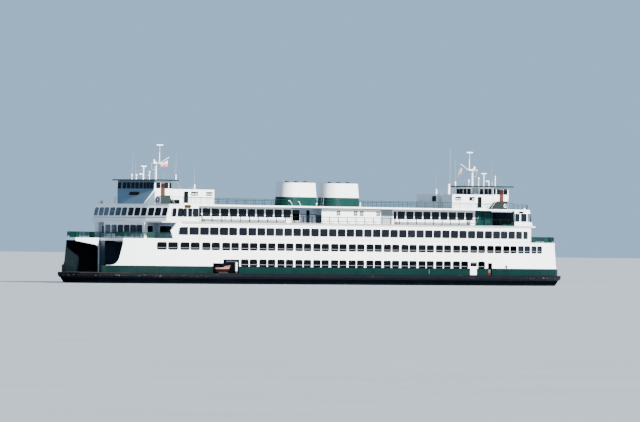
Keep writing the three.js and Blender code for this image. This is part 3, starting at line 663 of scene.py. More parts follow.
def window_glass(name, low, high, odd, dim_from=None, lit_across=None):
    """Window panes, each a little different, with soft shapes of the room.

    They darken left of dim_from, and turn pale with Y between the two values of lit_across.
    """
    m = Mat(name, 0.15, specular=0.15)
    own = m.node("ShaderNodeNewGeometry").outputs["Random Per Island"]
    inside = m.band(m.noise(22.0, 3.0), 0.35, 0.7)
    painted = m.over(m.mix(inside, low, high), odd, m.band(own, 0.5, 1.0), 0.6)
    if dim_from is not None:
        dim = m.band(m.axis("X"), dim_from, dim_from - 0.8)
        painted = m.over(painted, (0.0025, 0.0035, 0.006), dim, 0.75)
    if lit_across is not None:
        lit = m.mix(inside, (0.10, 0.13, 0.17), (0.20, 0.24, 0.29))
        painted = m.over(painted, lit, m.band(m.axis("Y"), *lit_across), 0.85)
    return m.colour(painted).bump(m.noise(7.0, 2.0), 0.05).mat


def plain(name, base, shade, rough, specular=0.5, metal=0.0):
    """Seals, grilles, fittings and other small parts in one mottled colour."""
    m = Mat(name, rough, metal, specular)
    return m.colour(m.mottled(base, shade, 40.0, 4.0)).bump(m.noise(120.0, 3.0), 0.2, 0.0006).mat


def varnished_wood():
    """Varnished timber with upright grain, and a dark red pane in its upper half."""
    m = Mat("door_wood", 0.5, specular=0.1)
    grain = m.noise(30.0, 8.0, 0.65, stretch=(1, 1, 0.08))
    wood_colour = m.mix(m.band(grain, 0.35, 0.65), (0.050, 0.018, 0.009), (0.088, 0.032, 0.015))
    m.colour(m.above(DOOR_PANE_FOOT, wood_colour, m.mottled((0.016, 0.006, 0.006), (0.024, 0.009, 0.009))))
    m.shader.inputs["Coat Weight"].default_value = 0.05
    m.shader.inputs["Coat Roughness"].default_value = 0.15
    return m.bump(grain, 0.25, 0.0006).mat


def orange_shell():
    """Sun-faded salmon tube on a dark red hull."""
    m = Mat("boat_tube", 0.55, specular=0.1)
    faded = m.band(m.noise(10.0, 5.0), 0.35, 0.7)
    tube = m.mix(faded, (0.24, 0.085, 0.070), (0.30, 0.125, 0.105))
    m.colour(m.above(BOAT_HULL_TOP, m.mottled((0.014, 0.003, 0.003), (0.022, 0.006, 0.005)), tube))
    return m.rough(faded, 0.35, 0.6).bump(m.noise(60.0, 3.0), 0.15, 0.0008).mat


def davit_paint():
    """White post with a dull grey foot and arm."""
    m = Mat("davit_paint", 0.6, specular=0.1)
    dull = m.mottled((0.028, 0.026, 0.034), (0.038, 0.035, 0.044), 30.0)
    post = m.above(DAVIT_FOOT_TOP, dull, m.mottled(*WHITE))
    return m.colour(m.above(DAVIT_ARM_FOOT, post, dull)).mat


def bronze():
    """Cast propeller bronze with a dull skin."""
    m = Mat("propeller_bronze", 0.4, 1.0)
    skin = m.band(m.noise(14.0, 6.0), 0.35, 0.7)
    m.colour(m.mix(skin, (0.50, 0.32, 0.13), (0.30, 0.24, 0.13)))
    return m.rough(skin, 0.3, 0.6).bump(m.noise(50.0, 3.0), 0.2, 0.001).mat


def flag_cloth():
    """Woven cloth with a pale upper field and red lower stripes, laid out over the cloth's own u and v."""
    m = Mat("flag_cloth", 0.9, specular=0.2)
    down = m.axis("Y", m.node("ShaderNodeTexCoord").outputs["UV"])
    stripes = m.band(m.math("FRACT", m.product(down, 6.5)), 0.48, 0.52)
    lower = m.mix(stripes, (0.50, 0.045, 0.055), (0.62, 0.28, 0.29))
    field = m.mix(m.band(down, 0.44, 0.46), (0.66, 0.60, 0.62), lower)
    weave = m.node("ShaderNodeTexWave", Scale=260.0, Distortion=1.0, Detail=1.0)
    m.link(m.place, weave.inputs["Vector"])
    m.colour(m.over(field, (0.35, 0.10, 0.10), weave.outputs["Fac"], 0.12))
    return m.bump(weave.outputs["Fac"], 0.3, 0.0004).mat


white = white_paint()
green = green_paint("green_paint", *GREEN)
mesh_green = green_paint("mesh_green_paint", *MESH_GREEN)
hull_mat = hull_paint()
deck_mat = deck_paint()
DEEP_GLASS = (0.0015, 0.003, 0.006), (0.003, 0.0055, 0.010), (0.006, 0.009, 0.014)
SHADE_GLASS = (0.006, 0.010, 0.015), (0.030, 0.042, 0.056), (0.012, 0.018, 0.026)
glass = window_glass("window_glass", (0.0025, 0.004, 0.008), (0.005, 0.008, 0.013), (0.010, 0.014, 0.020))
cabin_glass = window_glass(
    "cabin_glass", (0.002, 0.003, 0.005), (0.0045, 0.006, 0.009), (0.008, 0.010, 0.013), dim_from=-2.6,
)
front_glass = window_glass("front_glass", *DEEP_GLASS)
shade_glass = window_glass("shade_glass", *SHADE_GLASS, lit_across=(0.14, 0.26))
lounge_glass = window_glass("lounge_glass", *DEEP_GLASS, lit_across=(-0.1, 0.5))
blue_rim = plain("blue_window_rims", (0.045, 0.070, 0.100), (0.060, 0.088, 0.120), 0.6, 0.1)
seal = plain("dark_seal", (0.0015, 0.0022, 0.0036), (0.003, 0.004, 0.006), 0.8, 0.04)
soot = plain("sooty_steel", (0.012, 0.012, 0.012), (0.045, 0.04, 0.038), 0.8, 0.3)
grey = plain("grey_paint", (0.27, 0.32, 0.34), (0.33, 0.38, 0.40), 0.5)
pale_blind = plain("window_blind", (0.36, 0.42, 0.46), (0.46, 0.52, 0.55), 0.4)
maroon = plain("maroon_board", (0.018, 0.004, 0.006), (0.028, 0.007, 0.009), 0.6, 0.1)
vent_grey = plain("vent_grey", (0.010, 0.012, 0.014), (0.016, 0.019, 0.021), 0.7, 0.05)
bar_grey = plain("bar_grey", (0.20, 0.21, 0.23), (0.27, 0.28, 0.30), 0.6, 0.1)
olive = plain("olive_board", (0.020, 0.016, 0.003), (0.030, 0.024, 0.006), 0.7, 0.05)
beige = plain("beige_panel", (0.052, 0.041, 0.032), (0.070, 0.056, 0.044), 0.7, 0.1)
red_paint = plain("red_board", (0.042, 0.008, 0.006), (0.060, 0.012, 0.009), 0.7, 0.1)
rail_dark = plain("dark_rail_paint", (0.0025, 0.0055, 0.006), (0.004, 0.008, 0.0085), 0.7, 0.02)
whip_grey = plain("whip_grey", (0.30, 0.32, 0.34), (0.40, 0.42, 0.44), 0.5)
# Blue-grey painted shade and darker painted shadow, for walls in the shade of the decks above.
wall_shade_paint = plain("blue_grey_painted_shade", (0.30, 0.38, 0.47), (0.34, 0.42, 0.51), 0.6, 0.1)
wall_shadow_paint = plain("wall_shadow_paint", (0.045, 0.062, 0.084), (0.060, 0.082, 0.108), 0.7, 0.05)
steel = plain("bare_steel", (0.32, 0.32, 0.33), (0.46, 0.46, 0.47), 0.5, metal=0.6)
grating = grating_paint("grating_paint", (0.013, 0.024, 0.023), (0.005, 0.010, 0.010))
grating_dark = grating_paint("grating_dark", (0.012, 0.017, 0.017), (0.005, 0.007, 0.007))
flag_mat = flag_cloth()

# The CAD's nodes take these finishes, by the start of their names.
FINISHES = {
    "hull": hull_mat, "engine_block": steel, "guard_belt": guard_paint(), "car_deck": deck_mat,
    "side_shell": shell_paint_inside_shade(), "side_gate": white, "casing": casing_paint_and_shade(),
    # The platform's edges and underside, and the cabin deck's underside, are painted shade.
    "upper_car_deck": decked("platform_paint_under_shade", INSIDE_SHADE, INSIDE_SHADE),
    "cabin_deck": decked("cabin_deck_paint_under_shade", INSIDE_SHADE), "cabin_house": cabin_paint_recess_shade(),
    "sun_deck": decked("sun_deck_paint", WHITE), "sun_house": sun_house_paint_and_shade(), "bench": bench_paint_seat_shade(),
    "bridge_deck": decked("bridge_deck_paint", WHITE), "officers_block": white,
    "wheelhouse_door": varnished_wood(), "wheelhouse_roof": roof_paint(), "wheelhouse": wheelhouse_paint_front_shade(),
    "door_landing": grating, "door_landing_near_right": grating_dark, "door_landing_far_left": grating_dark,
    "mast": white, "radar": white, "flag": flag_mat, "funnel": funnel_paint(), "propeller": bronze(),
    "rudder": hull_mat, "rescue_boat": orange_shell(), "davit": davit_paint(),
}
for node_name, node in NODES.items():
    key = max((k for k in FINISHES if node_name.startswith(k)), key=len)
    node.data.materials.clear()
    node.data.materials.append(FINISHES[key])


# Windows: a painted rim that stands proud, a dark seal inside it, and the pane.
class Windows:
    """Rims, seals, panes and blinds of many windows, gathered into one mesh of each."""

    def __init__(self):
        self.rims, self.seals, self.panes, self.blinds = Soup(), Soup(), Soup(), Soup()

    def add(self, outline, place, rim=0.06, seal_width=0.06, proud=0.03, deep=-0.07, out=0.0):
        """One window; outline is the dark opening's edge, and out moves its face outwards."""
        inner = widened(outline, -seal_width)
        if rim:
            self.rims.rim(widened(outline, rim), outline, deep, out + proud, place)
        self.seals.rim(outline, inner, deep, out + proud * 0.5, place)
        self.panes.slab(inner, deep, out + proud * 0.2, place)

    def blind(self, u, v, place):
        """A pale blind that fills part of a pane."""
        self.blinds.plate(u, v, (-0.02, 0.012), place)

    def make(self, name, rim_material, pane=glass):
        """All the windows with their twins, as one object of each kind."""
        kinds = (
            (self.rims, "rims", rim_material), (self.seals, "seals", seal),
            (self.panes, "panes", pane), (self.blinds, "blinds", pale_blind),
        )
        for soup, kind, material in kinds:
            if soup.verts:
                soup.twin().make(f"{name}_{kind}", material)


# Side ports: dark gaskets with rounded corners round the shell's openings, and guard bars across; dark panes
# of painted shade fill the last upper pairs.
PORT_PITCH, PORT_WIDTH, PORT_POST, PORT_RADIUS = 4.24, 1.65, 0.28, 0.2
PORT_ROWS = [
    {"pairs": 14, "z": (2.86, 3.87), "shaded_pairs": 0, "gangway": True},
    {"pairs": 22, "z": (5.45, 6.5), "shaded_pairs": 2, "gangway": False},
]
GASKET, GASKET_TOP, GASKET_RADIUS = (0.045, 0.12), 0.15, 0.27
GUARD_BAR = {"lift": 0.3, "back": -0.1, "r": 0.032}


def build_ports():
    gaskets, bars, shade_sheets = Soup(), Soup(), Soup()
    inwards, outwards = GASKET
    for row in PORT_ROWS:
        z0, z1 = row["z"]
        bar_at = (z0 + GUARD_BAR["lift"], GUARD_BAR["back"])
        for k in range(row["pairs"]):
            centre = (k - (row["pairs"] - 1) / 2) * PORT_PITCH
            for side in (-1, 1):
                near = centre + side * PORT_POST / 2
                x0, x1 = sorted((near, near + side * PORT_WIDTH))
                if row["gangway"] and abs(x0 - GANGWAY[0]) < 0.5:
                    continue
                place = on_chord(x0, x1, SHELL_END)
                u0, u1 = (x0 - inwards, x1 + outwards) if side > 0 else (x0 - outwards, x1 + inwards)
                outer = rounded(u0, u1, z0 - inwards, z1 + GASKET_TOP, GASKET_RADIUS, 4)
                gaskets.rim(outer, rounded(x0, x1, z0, z1, PORT_RADIUS, 4), -0.03, 0.012, place)
                bars.bar(place(x0 - 0.01, *bar_at), place(x1 + 0.01, *bar_at), GUARD_BAR["r"])
                # Dark panes of painted shade in the open ports, where the dim car deck shows through.
                if k >= row["pairs"] - row["shaded_pairs"]:
                    shade_sheets.plate((x0 - 0.01, x1 + 0.01), (z0 - 0.01, z1 + 0.01), (-0.16, -0.12), place)
    gaskets.twin().make("port_gaskets", seal)
    bars.twin().make("port_bars", bar_grey)
    shade_sheets.twin().make("port_shade_sheets", front_glass)


BULWARK_TIP, BULWARK_WALL = 55.0, 0.12
DRAIN = {"chord": (34.6, 35.5), "centre": (35.07, 3.14), "r": 0.27}
SEAM_MARK = {"x": (15.585, 15.615), "z": (1.95, 2.6)}
RAIN_PIPES, RAIN_PIPE_Z = (-38.4, -27.9, -12.1, 4.4, 20.3, 33.2), (6.6, 7.75)
DECK_GAP_SHADOW_Z, LEDGE_Z, SUN_DECK_LINE_Z = (9.63, 9.72), (7.2, 7.24), (9.82, 9.93)
BARRIER = {"y": (-10.66, -10.6), "strip": (1.78, 2.05), "panel": (2.12, 2.72)}
GANGWAY_BOARD = {"y": (-10.7, -10.64), "z": (3.6, 3.72)}


def build_hull_side():
    """Small things on the side: bulwark tips, a dark disc of painted shade in the drain, a painted shadow
    line in the gap under the sun deck, ledges, rain pipes, barrier and board.
    """
    dark, warm, ledges, edges, tips, panels = Soup(), Soup(), Soup(), Soup(), Soup(), Soup()
    shell = on_side(SHELL_END)
    corners = ((-BULWARK_TIP, 0), (-SHELL_END, 0), (-SHELL_END, BULWARK_WALL), (-BULWARK_TIP, BULWARK_WALL))
    tip_z = (Z_CAR, Z_GREEN_TOP - 0.03)
    tips.loft([[(x, -half_breadth(x) + inwards, z) for x, inwards in corners] for z in tip_z])
    (u, v), r = DRAIN["centre"], DRAIN["r"]
    hole = [(u + r * math.cos(t), v + r * math.sin(t)) for t in [i * math.pi / 6 for i in range(12)]]
    # A dark disc of painted shade in the drain's opening.
    dark.slab(hole, -0.02, 0.04, on_chord(*DRAIN["chord"], SHELL_END))
    ledges.plate(SEAM_MARK["x"], SEAM_MARK["z"], (-0.02, 0.012), shell)
    marks = stations_between(-42.0, CABIN_END)
    for span in zip(marks, marks[1:]):
        wall = on_chord(*span, CABIN_END)
        # A painted shadow line in the gap under the sun deck's plate.
        dark.plate(span, DECK_GAP_SHADOW_Z, (-0.02, 0.03), wall)
        ledges.plate(span, LEDGE_Z, (-0.02, 0.02), wall)
        edges.plate(span, SUN_DECK_LINE_Z, (-0.02, 0.02), wall)
    for x in RAIN_PIPES:
        ledges.plate((x - 0.03, x + 0.03), RAIN_PIPE_Z, (-0.02, 0.03), shell)
    # Barrier across the side doorway: a red strip below a beige panel. Board in the gangway's top.
    inside = (DOORWAY[0] + 0.16, DOORWAY[1] - 0.3)
    warm.box(inside, BARRIER["y"], BARRIER["strip"])
    panels.box(inside, BARRIER["y"], BARRIER["panel"])
    panels.box((GANGWAY[0] + 0.03, GANGWAY[1] - 0.03), GANGWAY_BOARD["y"], GANGWAY_BOARD["z"])
    tips.twin().make("bulwark_tips", green)
    panels.twin().make("doorway_panel", beige)
    dark.twin().make("side_shadow_marks", seal)
    edges.twin().make("sun_deck_edge_line", vent_grey)
    warm.twin().make("doorway_barrier", red_paint)
    ledges.twin().make("side_ledges", grey)


DAVIT_POST = {"at": (-30.05, -10.3), "z": (2.12, 3.45), "r": 0.2}
CANOPY_Y = (-9.97, -9.13)


def build_boat_fittings():
    """Rescue boat's console, its canopy on a slanted frame, and the davit's white post cover."""
    dark, pale = Soup(), Soup()
    dark.box((-32.7, -32.3), (-9.8, -9.3), (2.4, 3.12))
    dark.box((-34.6, -34.15), (-9.95, -9.15), (2.35, 2.75))
    for y in (-9.95, -9.15):
        dark.bar((-34.6, y, 2.6), (-32.4, y, 3.5), 0.05)
    sheet = ((-33.9, 3.12), (-32.3, 3.66), (-32.3, 3.58), (-33.9, 3.04))
    dark.loft([[(x, y, z) for x, z in sheet] for y in CANOPY_Y])
    low, high = ((*DAVIT_POST["at"], z) for z in DAVIT_POST["z"])
    pale.bar(low, high, DAVIT_POST["r"], 8)
    dark.twin().make("rescue_boat_console", seal)
    pale.twin().make("davit_post_cover", white)


# Cabin deck windows along the side, by their middles, and on the end walls.
CABIN_Z, CABIN_HALF = (7.8, 9.08), 0.955
CABIN_WINDOWS = [-39.54, -37.48, -35.42, -33.37, -31.32]
CABIN_WINDOWS += [-29.04 + 2.115 * i for i in range(27)]
CABIN_WINDOWS += [28.08, 30.24, 32.3, 34.35, 36.5, 38.6]
CABIN_LAST_WINDOW = (39.93, 41.37)
CABIN_FRONT = {"x": -45.3, "count": 6, "pitch": 1.4, "shift": 0.1, "half": 0.62, "z": (7.92, 9.33)}
CABIN_RECESS = {"z": (7.95, 9.2), "back": ((5.15, 7.75), (-7.75, -5.15)), "side": (-44.6, -43.35), "y": 4.5}


def build_cabin_windows():
    windows, fronts = Windows(), Windows()
    z0, z1 = CABIN_Z
    for x0, x1 in [(x - CABIN_HALF, x + CABIN_HALF) for x in CABIN_WINDOWS] + [CABIN_LAST_WINDOW]:
        windows.add(rounded(x0, x1, z0, z1, 0.22, 4), on_chord(x0, x1, CABIN_END), rim=0.04)
    slanted = [(-40.75, z1), (-42.1, z1), (-42.45, z1 - 0.2), (-42.62, z0 + 0.15), (-42.48, z0), (-40.75, z0)]
    windows.add(slanted, on_side(43.95), out=0.05)
    count = CABIN_FRONT["count"]
    for i in range(count):
        centre = (i - (count - 1) / 2) * CABIN_FRONT["pitch"] + CABIN_FRONT["shift"]
        # They narrow a little towards the far side.
        half = CABIN_FRONT["half"] * (0.92 + 0.028 * (count - i))
        outline = rounded(centre - half, centre + half, *CABIN_FRONT["z"], 0.2)
        fronts.add(outline, on_wall_x(CABIN_FRONT["x"]))
    for y0, y1 in CABIN_RECESS["back"]:
        windows.add(rounded(y0, y1, *CABIN_RECESS["z"], 0.2), on_wall_x(-CABIN_END))
    side_window = rounded(*CABIN_RECESS["side"], *CABIN_RECESS["z"], 0.2)
    for y in (-CABIN_RECESS["y"], CABIN_RECESS["y"]):
        windows.add(side_window, on_wall_y(y))
    windows.make("cabin_window", white, pane=cabin_glass)
    fronts.make("cabin_front_window", white, pane=shade_glass)


# End lounges. The front's walls are the right lounge's, and their windows are counted from amidships.
LOUNGE_LEAN = 0.28
LOUNGE_FRONT = [(43.5, -8.2), (44.1, -4.2), (44.3, 0.0), (44.1, 4.2), (43.5, 8.2)]
LOUNGE_WINDOWS = [(0.14, 1.3), (1.52, 2.72), (2.94, 4.1)]
LOUNGE_OUTER_WINDOWS = [(0.18, 1.35), (1.52, 2.72), (2.96, 3.95)]
LOUNGE_Z, LOUNGE_SIDE_Z, LOUNGE_BREAK_SHADE_Z = (10.8, 12.1), (10.68, 12.05), (10.5, 10.56)
LOUNGE_KINK, LOUNGE_KINK_Y = 41.7, 9.517
CHAMFER_BULGE, SIDE_BULGE = 0.12, 0.03
# Windows of the corner walls: the side, their spans as shares of the wall, the rim and the bulge.
CORNER_WINDOWS = ((1, ((0.28, 0.56), (0.64, 0.99)), 0.025, CHAMFER_BULGE), (-1, ((0.3, 0.82),), 0, 0.07))
# Windows of the side walls: far right, turned round from the near left, and near right.
LEFT_SIDE_WINDOWS = ((-41.68, -40.92), (-40.76, -39.92), (-39.84, -38.68))
RIGHT_SIDE_WINDOWS = ((37.44, 38.8), (39.22, 41.0), (41.28, 41.68))


def lounge_wall(x0, x1):
    """The near side wall of a lounge from x0 to x1."""
    return on_flat(*((x, -half_breadth(x) + 0.08) for x in (x0, x1)))


LEFT_LOUNGE_WALL = lounge_wall(-LOUNGE_KINK, -38.6)
RIGHT_LOUNGE_WALL = lounge_wall(37.4, LOUNGE_KINK)


def build_lounges():
    windows, break_shade_strips = Windows(), Soup()
    for index, (a, b) in enumerate(zip(LOUNGE_FRONT, LOUNGE_FRONT[1:])):
        length = math.hypot(b[0] - a[0], b[1] - a[1])
        wall = on_line(a, b, LOUNGE_LEAN, Z_BRIDGE_UNDER)
        for u0, u1 in LOUNGE_WINDOWS if index in (1, 2) else LOUNGE_OUTER_WINDOWS:
            if index < 2:
                u0, u1 = length - u1, length - u0
            windows.add(rounded(u0, u1, *LOUNGE_Z, 0.2), wall)
        # A thin dark strip of painted shade along the slight break under the windows.
        break_shade_strips.plate((0.04, length - 0.04), LOUNGE_BREAK_SHADE_Z, (-0.02, 0.02), wall)
    z0, z1 = LOUNGE_SIDE_Z
    # Corner walls, which twist from the lean of the front to the upright side.
    for side, spans, rim, out in CORNER_WINDOWS:
        corner = [(44.2, side * 8.2, Z_SUN), (43.5, side * 8.2, Z_BRIDGE_UNDER)]
        outer = [(LOUNGE_KINK, side * LOUNGE_KINK_Y, z) for z in (Z_SUN, Z_BRIDGE_UNDER)]
        first, last = (corner, outer) if side > 0 else (outer, corner)
        wall = on_quad(first[0], last[0], last[1], first[1])
        for u0, u1 in spans:
            outline = rounded(u0, u1, z0, z1, 0.09, r_v=0.2)
            windows.add(outline, wall, rim=rim, seal_width=0.03, deep=-0.1, out=out)
    for x0, x1 in LEFT_SIDE_WINDOWS:
        outline = rounded(x0, x1, z0, z1, 0.15)
        windows.add(outline, LEFT_LOUNGE_WALL, rim=0.02, seal_width=0.05, out=SIDE_BULGE)
    windows.seals.bar((-LOUNGE_KINK, -9.56, z0 + 0.12), (-LOUNGE_KINK, -9.56, z1 - 0.12), 0.15, 8)
    for x0, x1 in RIGHT_SIDE_WINDOWS:
        outline = rounded(x0, x1, z0, z1, 0.15 if x1 - x0 > 0.5 else 0.1)
        windows.add(outline, RIGHT_LOUNGE_WALL, rim=0.04, seal_width=0.05, out=SIDE_BULGE)
    windows.make("lounge_window", white, pane=lounge_glass)
    break_shade_strips.twin().make("lounge_break_shade_strips", seal)


# Promenades beside the sun deck house, whose middle stands further out and has louvred vents.
PROMENADE_START, PROMENADE_PITCH = -35.8, 2.1
PROMENADE_Z, PROMENADE_WALL_Z = (10.75, 12.12), (9.98, 12.43)
MIDDLE_HOUSE_X = -9.0
HOUSE_VENTS, VENT_Z, VENT_HALF = (-5.05, -0.92, 0.55, 4.55), (11.28, 12.0), 0.43
LOUVRE = {"count": 5, "foot": 11.38, "pitch": 0.11, "height": 0.06, "half": 0.32}
GREEN_FRAME_POSTS = ((29.75, 29.85), (31.35, 31.45))


def build_promenades():
    windows, blue, dark, doors = Windows(), Soup(), Soup(), Soup()
    promenade, middle = on_wall_y(-PROMENADE_Y), on_wall_y(-9.4)
    z0, z1 = PROMENADE_Z
    for i in range(-1, 10):
        x0 = PROMENADE_START + PROMENADE_PITCH * i
        windows.add(rounded(x0, x0 + 1.8, z0, z1, 0.1, 2), promenade)
    windows.add(rounded(-14.74, -13.0, z0 - 0.45, z1, 0.08, 2), promenade)
    windows.add(rounded(9.62, 10.34, z0, z1, 0.08, 2), promenade)
    for i in range(9):
        x0 = 10.56 + PROMENADE_PITCH * i
        windows.add(rounded(x0, x0 + 1.82, z0, z1, 0.1, 2), promenade)
    windows.make("promenade_window", white, pane=front_glass)
    # Plates of blue-grey painted shade for the shade of the deck above, and of darker painted shadow below:
    # beside the middle house and on its end.
    beside = ((-14.95, MIDDLE_HOUSE_X - 0.01), 11.42, promenade)
    on_end = ((-9.39, -8.22), 11.3, on_wall_x(MIDDLE_HOUSE_X))
    for span, painted_shadow_top, wall in (beside, on_end):
        blue.plate(span, PROMENADE_WALL_Z, (-0.02, 0.003), wall)
        dark.plate(span, (PROMENADE_WALL_Z[0], painted_shadow_top), (-0.02, 0.006), wall)
    blue.twin().make("promenade_shade_plates", wall_shade_paint)
    dark.twin().make("promenade_shadow_plates", wall_shadow_paint)
    doors.slab(rounded(-11.41, -10.66, 9.98, 12.05, 0.12), -0.02, 0.03, promenade)
    doors.twin().make("promenade_doors", seal)
    vents, shade_greys, frames, lockers, struts = Soup(), Soup(), Soup(), Soup(), Soup()
    for x in HOUSE_VENTS:
        louvre = (x - LOUVRE["half"], x + LOUVRE["half"])
        outline = rounded(x - VENT_HALF, x + VENT_HALF, *VENT_Z, 0.08, 1)
        vents.rim(outline, widened(outline, -0.16), -0.02, 0.04, middle)
        for i in range(LOUVRE["count"]):
            z = LOUVRE["foot"] + LOUVRE["pitch"] * i
            vents.plate(louvre, (z, z + LOUVRE["height"]), (-0.02, 0.025), middle)
    vents.plate((-8.9, 5.25), (12.35, 12.43), (-0.02, 0.02), middle)
    vents.twin().make("house_vents", vent_grey)
    # A grey plate of painted shade on the wall beyond the middle house.
    shade_greys.plate((5.3, 9.3), (9.98, 12.4), (-0.02, 0.02), promenade)
    shade_greys.twin().make("promenade_shade_grey_plate", grey)
    # Green end of the wall, with a framed panel.
    outline = rounded(31.75, 33.7, 10.2, 12.2, 0.06, 1)
    frames.rim(outline, widened(outline, -0.08), -0.02, 0.05, promenade)
    for post in GREEN_FRAME_POSTS:
        frames.plate(post, (9.98, 12.4), (-0.02, 0.05), promenade)
    frames.twin().make("promenade_green_frames", green)
    # White locker and a slanted strut on the right promenade.
    lockers.box((27.3, 28.35), (-9.35, -8.95), (Z_SUN, 10.82))
    lockers.make("promenade_locker", white)
    struts.bar((29.9, -8.3, 10.3), (30.6, -8.3, 11.6), 0.025)
    struts.make("promenade_strut", whip_grey)


def build_shelter():
    """Open shelter's side: a coaming with a raised corner, and the beam over it in blue-grey painted shade.
    """
    frames, beams = Soup(), Soup()
    place = on_chord(34.1, 37.4, LOUNGE_KINK, -0.2)
    low = Z_SUN + 0.02
    frames.slab([(36.3, low + 0.25), (37.38, low + 0.25), (37.38, low + 1.05)], -0.05, 0.02, place)
    frames.plate((34.12, 37.38), (low, low + 0.3), (-0.05, 0.03), place)
    beams.plate((31.0, 36.6), (12.26, 12.44), (-0.1, 0.0), on_chord(31.0, 36.6, LOUNGE_KINK, -0.1))
    frames.twin().make("shelter_coaming", green)
    beams.twin().make("shelter_beam", wall_shade_paint)


# Wheelhouse walls in the right end's coordinates.
ROOF_EDGE = {"x": (37.9, 43.1), "half": 4.82, "out": 0.03, "z": (16.44, 16.62)}
WHEELHOUSE = {"rear": 38.81, "half": 4.15, "foot": (43.9, 12.7), "sill": (42.72, 15.0), "top": (42.6, 16.45)}
FRONT_WINDOWS = [
    (-4.02, -3.3), (-2.98, -2.2), (-2.02, -1.24), (-1.06, -0.3), (-0.13, 0.6), (0.78, 1.5), (1.68, 2.3),
    (2.42, 3.08), (3.2, 3.86),
]
FRONT_Z, SIDE_Z, REAR_Z = (15.16, 16.12), (15.2, 16.12), (15.25, 16.13)
SIDE_WINDOWS = [
    (38.86, 39.46), (39.64, 40.36), (41.4, 42.36), (-42.38, -41.38), (-40.36, -39.54), (-39.38, -38.84),
]
REAR_WINDOWS = [
    (-4.06, -3.48), (-3.38, -2.7), (-2.5, -1.86), (-1.66, -0.95), (1.17, 1.83), (2.2, 2.92), (3.06, 3.74),
]
REAR_COLUMN = {"y": (-0.81, 0.51), "z": (15.3, 16.3), "out": 0.06}
REAR_LOCKER = {"y": (-0.7, 0.0), "z": (15.16, 15.46), "out": 0.2}
LIFE_RINGS = {
    "left": {"at": (-4.47, 13.42), "r": 0.34, "wall": on_wall_x(-42.27), "paint": vent_grey},
    "right": {"at": (40.6, 13.3), "r": 0.28, "wall": on_wall_y(-5.12), "paint": white},
}


def build_wheelhouses():
    windows, boards, columns, lockers, trims = Windows(), Soup(), Soup(), Soup(), Soup()
    upper = on_front(1, WHEELHOUSE["sill"], WHEELHOUSE["top"])
    lower = on_front(1, WHEELHOUSE["foot"], WHEELHOUSE["sill"])
    for y0, y1 in FRONT_WINDOWS:
        windows.add(rounded(y0, y1, *FRONT_Z, 0.06, 1), upper, rim=0.03, seal_width=0.03)
    boards.slab(rounded(-1.1, 1.1, 14.1, 14.6, 0.25, 5), -0.02, 0.06, lower)
    rear = on_wall_x(WHEELHOUSE["rear"], -1)
    for y0, y1 in REAR_WINDOWS:
        windows.add(rounded(-y1, -y0, *REAR_Z, 0.06, 1), rear, rim=0.03, seal_width=0.03)
    columns.plate(REAR_COLUMN["y"], REAR_COLUMN["z"], (-0.02, REAR_COLUMN["out"]), rear)
    lockers.plate(REAR_LOCKER["y"], REAR_LOCKER["z"], (-0.02, REAR_LOCKER["out"]), rear)
    wall = on_wall_y(-WHEELHOUSE["half"])
    for x0, x1 in SIDE_WINDOWS:
        outline = rounded(x0, x1, *SIDE_Z, 0.06, 1)
        windows.add(outline, wall, rim=0, seal_width=0.04, proud=0.012, out=0.025)
    windows.make("wheelhouse_window", blue_rim, pane=front_glass)
    boards.twin().make("wheelhouse_board", maroon)
    columns.twin().make("wheelhouse_rear_column", grey)
    lockers.twin().make("wheelhouse_rear_locker", white)
    # Life rings, which differ between the ends; the left one hangs on a white back.
    back = Soup()
    back.plate((-5.08, -3.95), (12.75, 14.0), (0.0, 0.012), on_wall_x(-42.26))
    back.make("life_ring_back", white)
    for end, form in LIFE_RINGS.items():
        ring = Soup()
        ring.ring(form["at"], form["r"], 0.08, form["wall"])
        ring.make(f"life_ring_{end}", form["paint"])
    # Green edge strip round the roof.
    (x0, x1), half, out = ROOF_EDGE["x"], ROOF_EDGE["half"], ROOF_EDGE["out"]
    inner = [(x0, -half), (x1, -half), (x1, half), (x0, half)]
    trims.rim(widened(inner, out), widened(inner, -out), *ROOF_EDGE["z"], lambda u, v, w: (u, v, w))
    trims.twin().make("roof_edge_strips", green)


BLOCK_WINDOWS = [(-34.12, -32.48), (-30.63, -29.13), (29.45, 30.95), (32.92, 34.31)]
BLOCK_WINDOW_Z, BLIND_Z = (14.12, 14.76), (14.24, 14.52)
BLOCK_DOORS, BLOCK_DOOR_Z = ((-35.76, -34.76), (35.05, 36.03)), (12.93, 14.79)
# Handrails of the blocks: from x to x, and the height.
BLOCK_HANDRAILS = ((-34.6, -29.0, 13.9), (-38.7, -35.9, 13.9), (29.0, 34.9, 13.6), (36.2, 38.5, 13.6))
BLOCK_LADDER = {"x": 28.62, "y": (-1.55, -1.05), "top": 15.6, "rungs": 9, "first": 12.95, "pitch": 0.3}


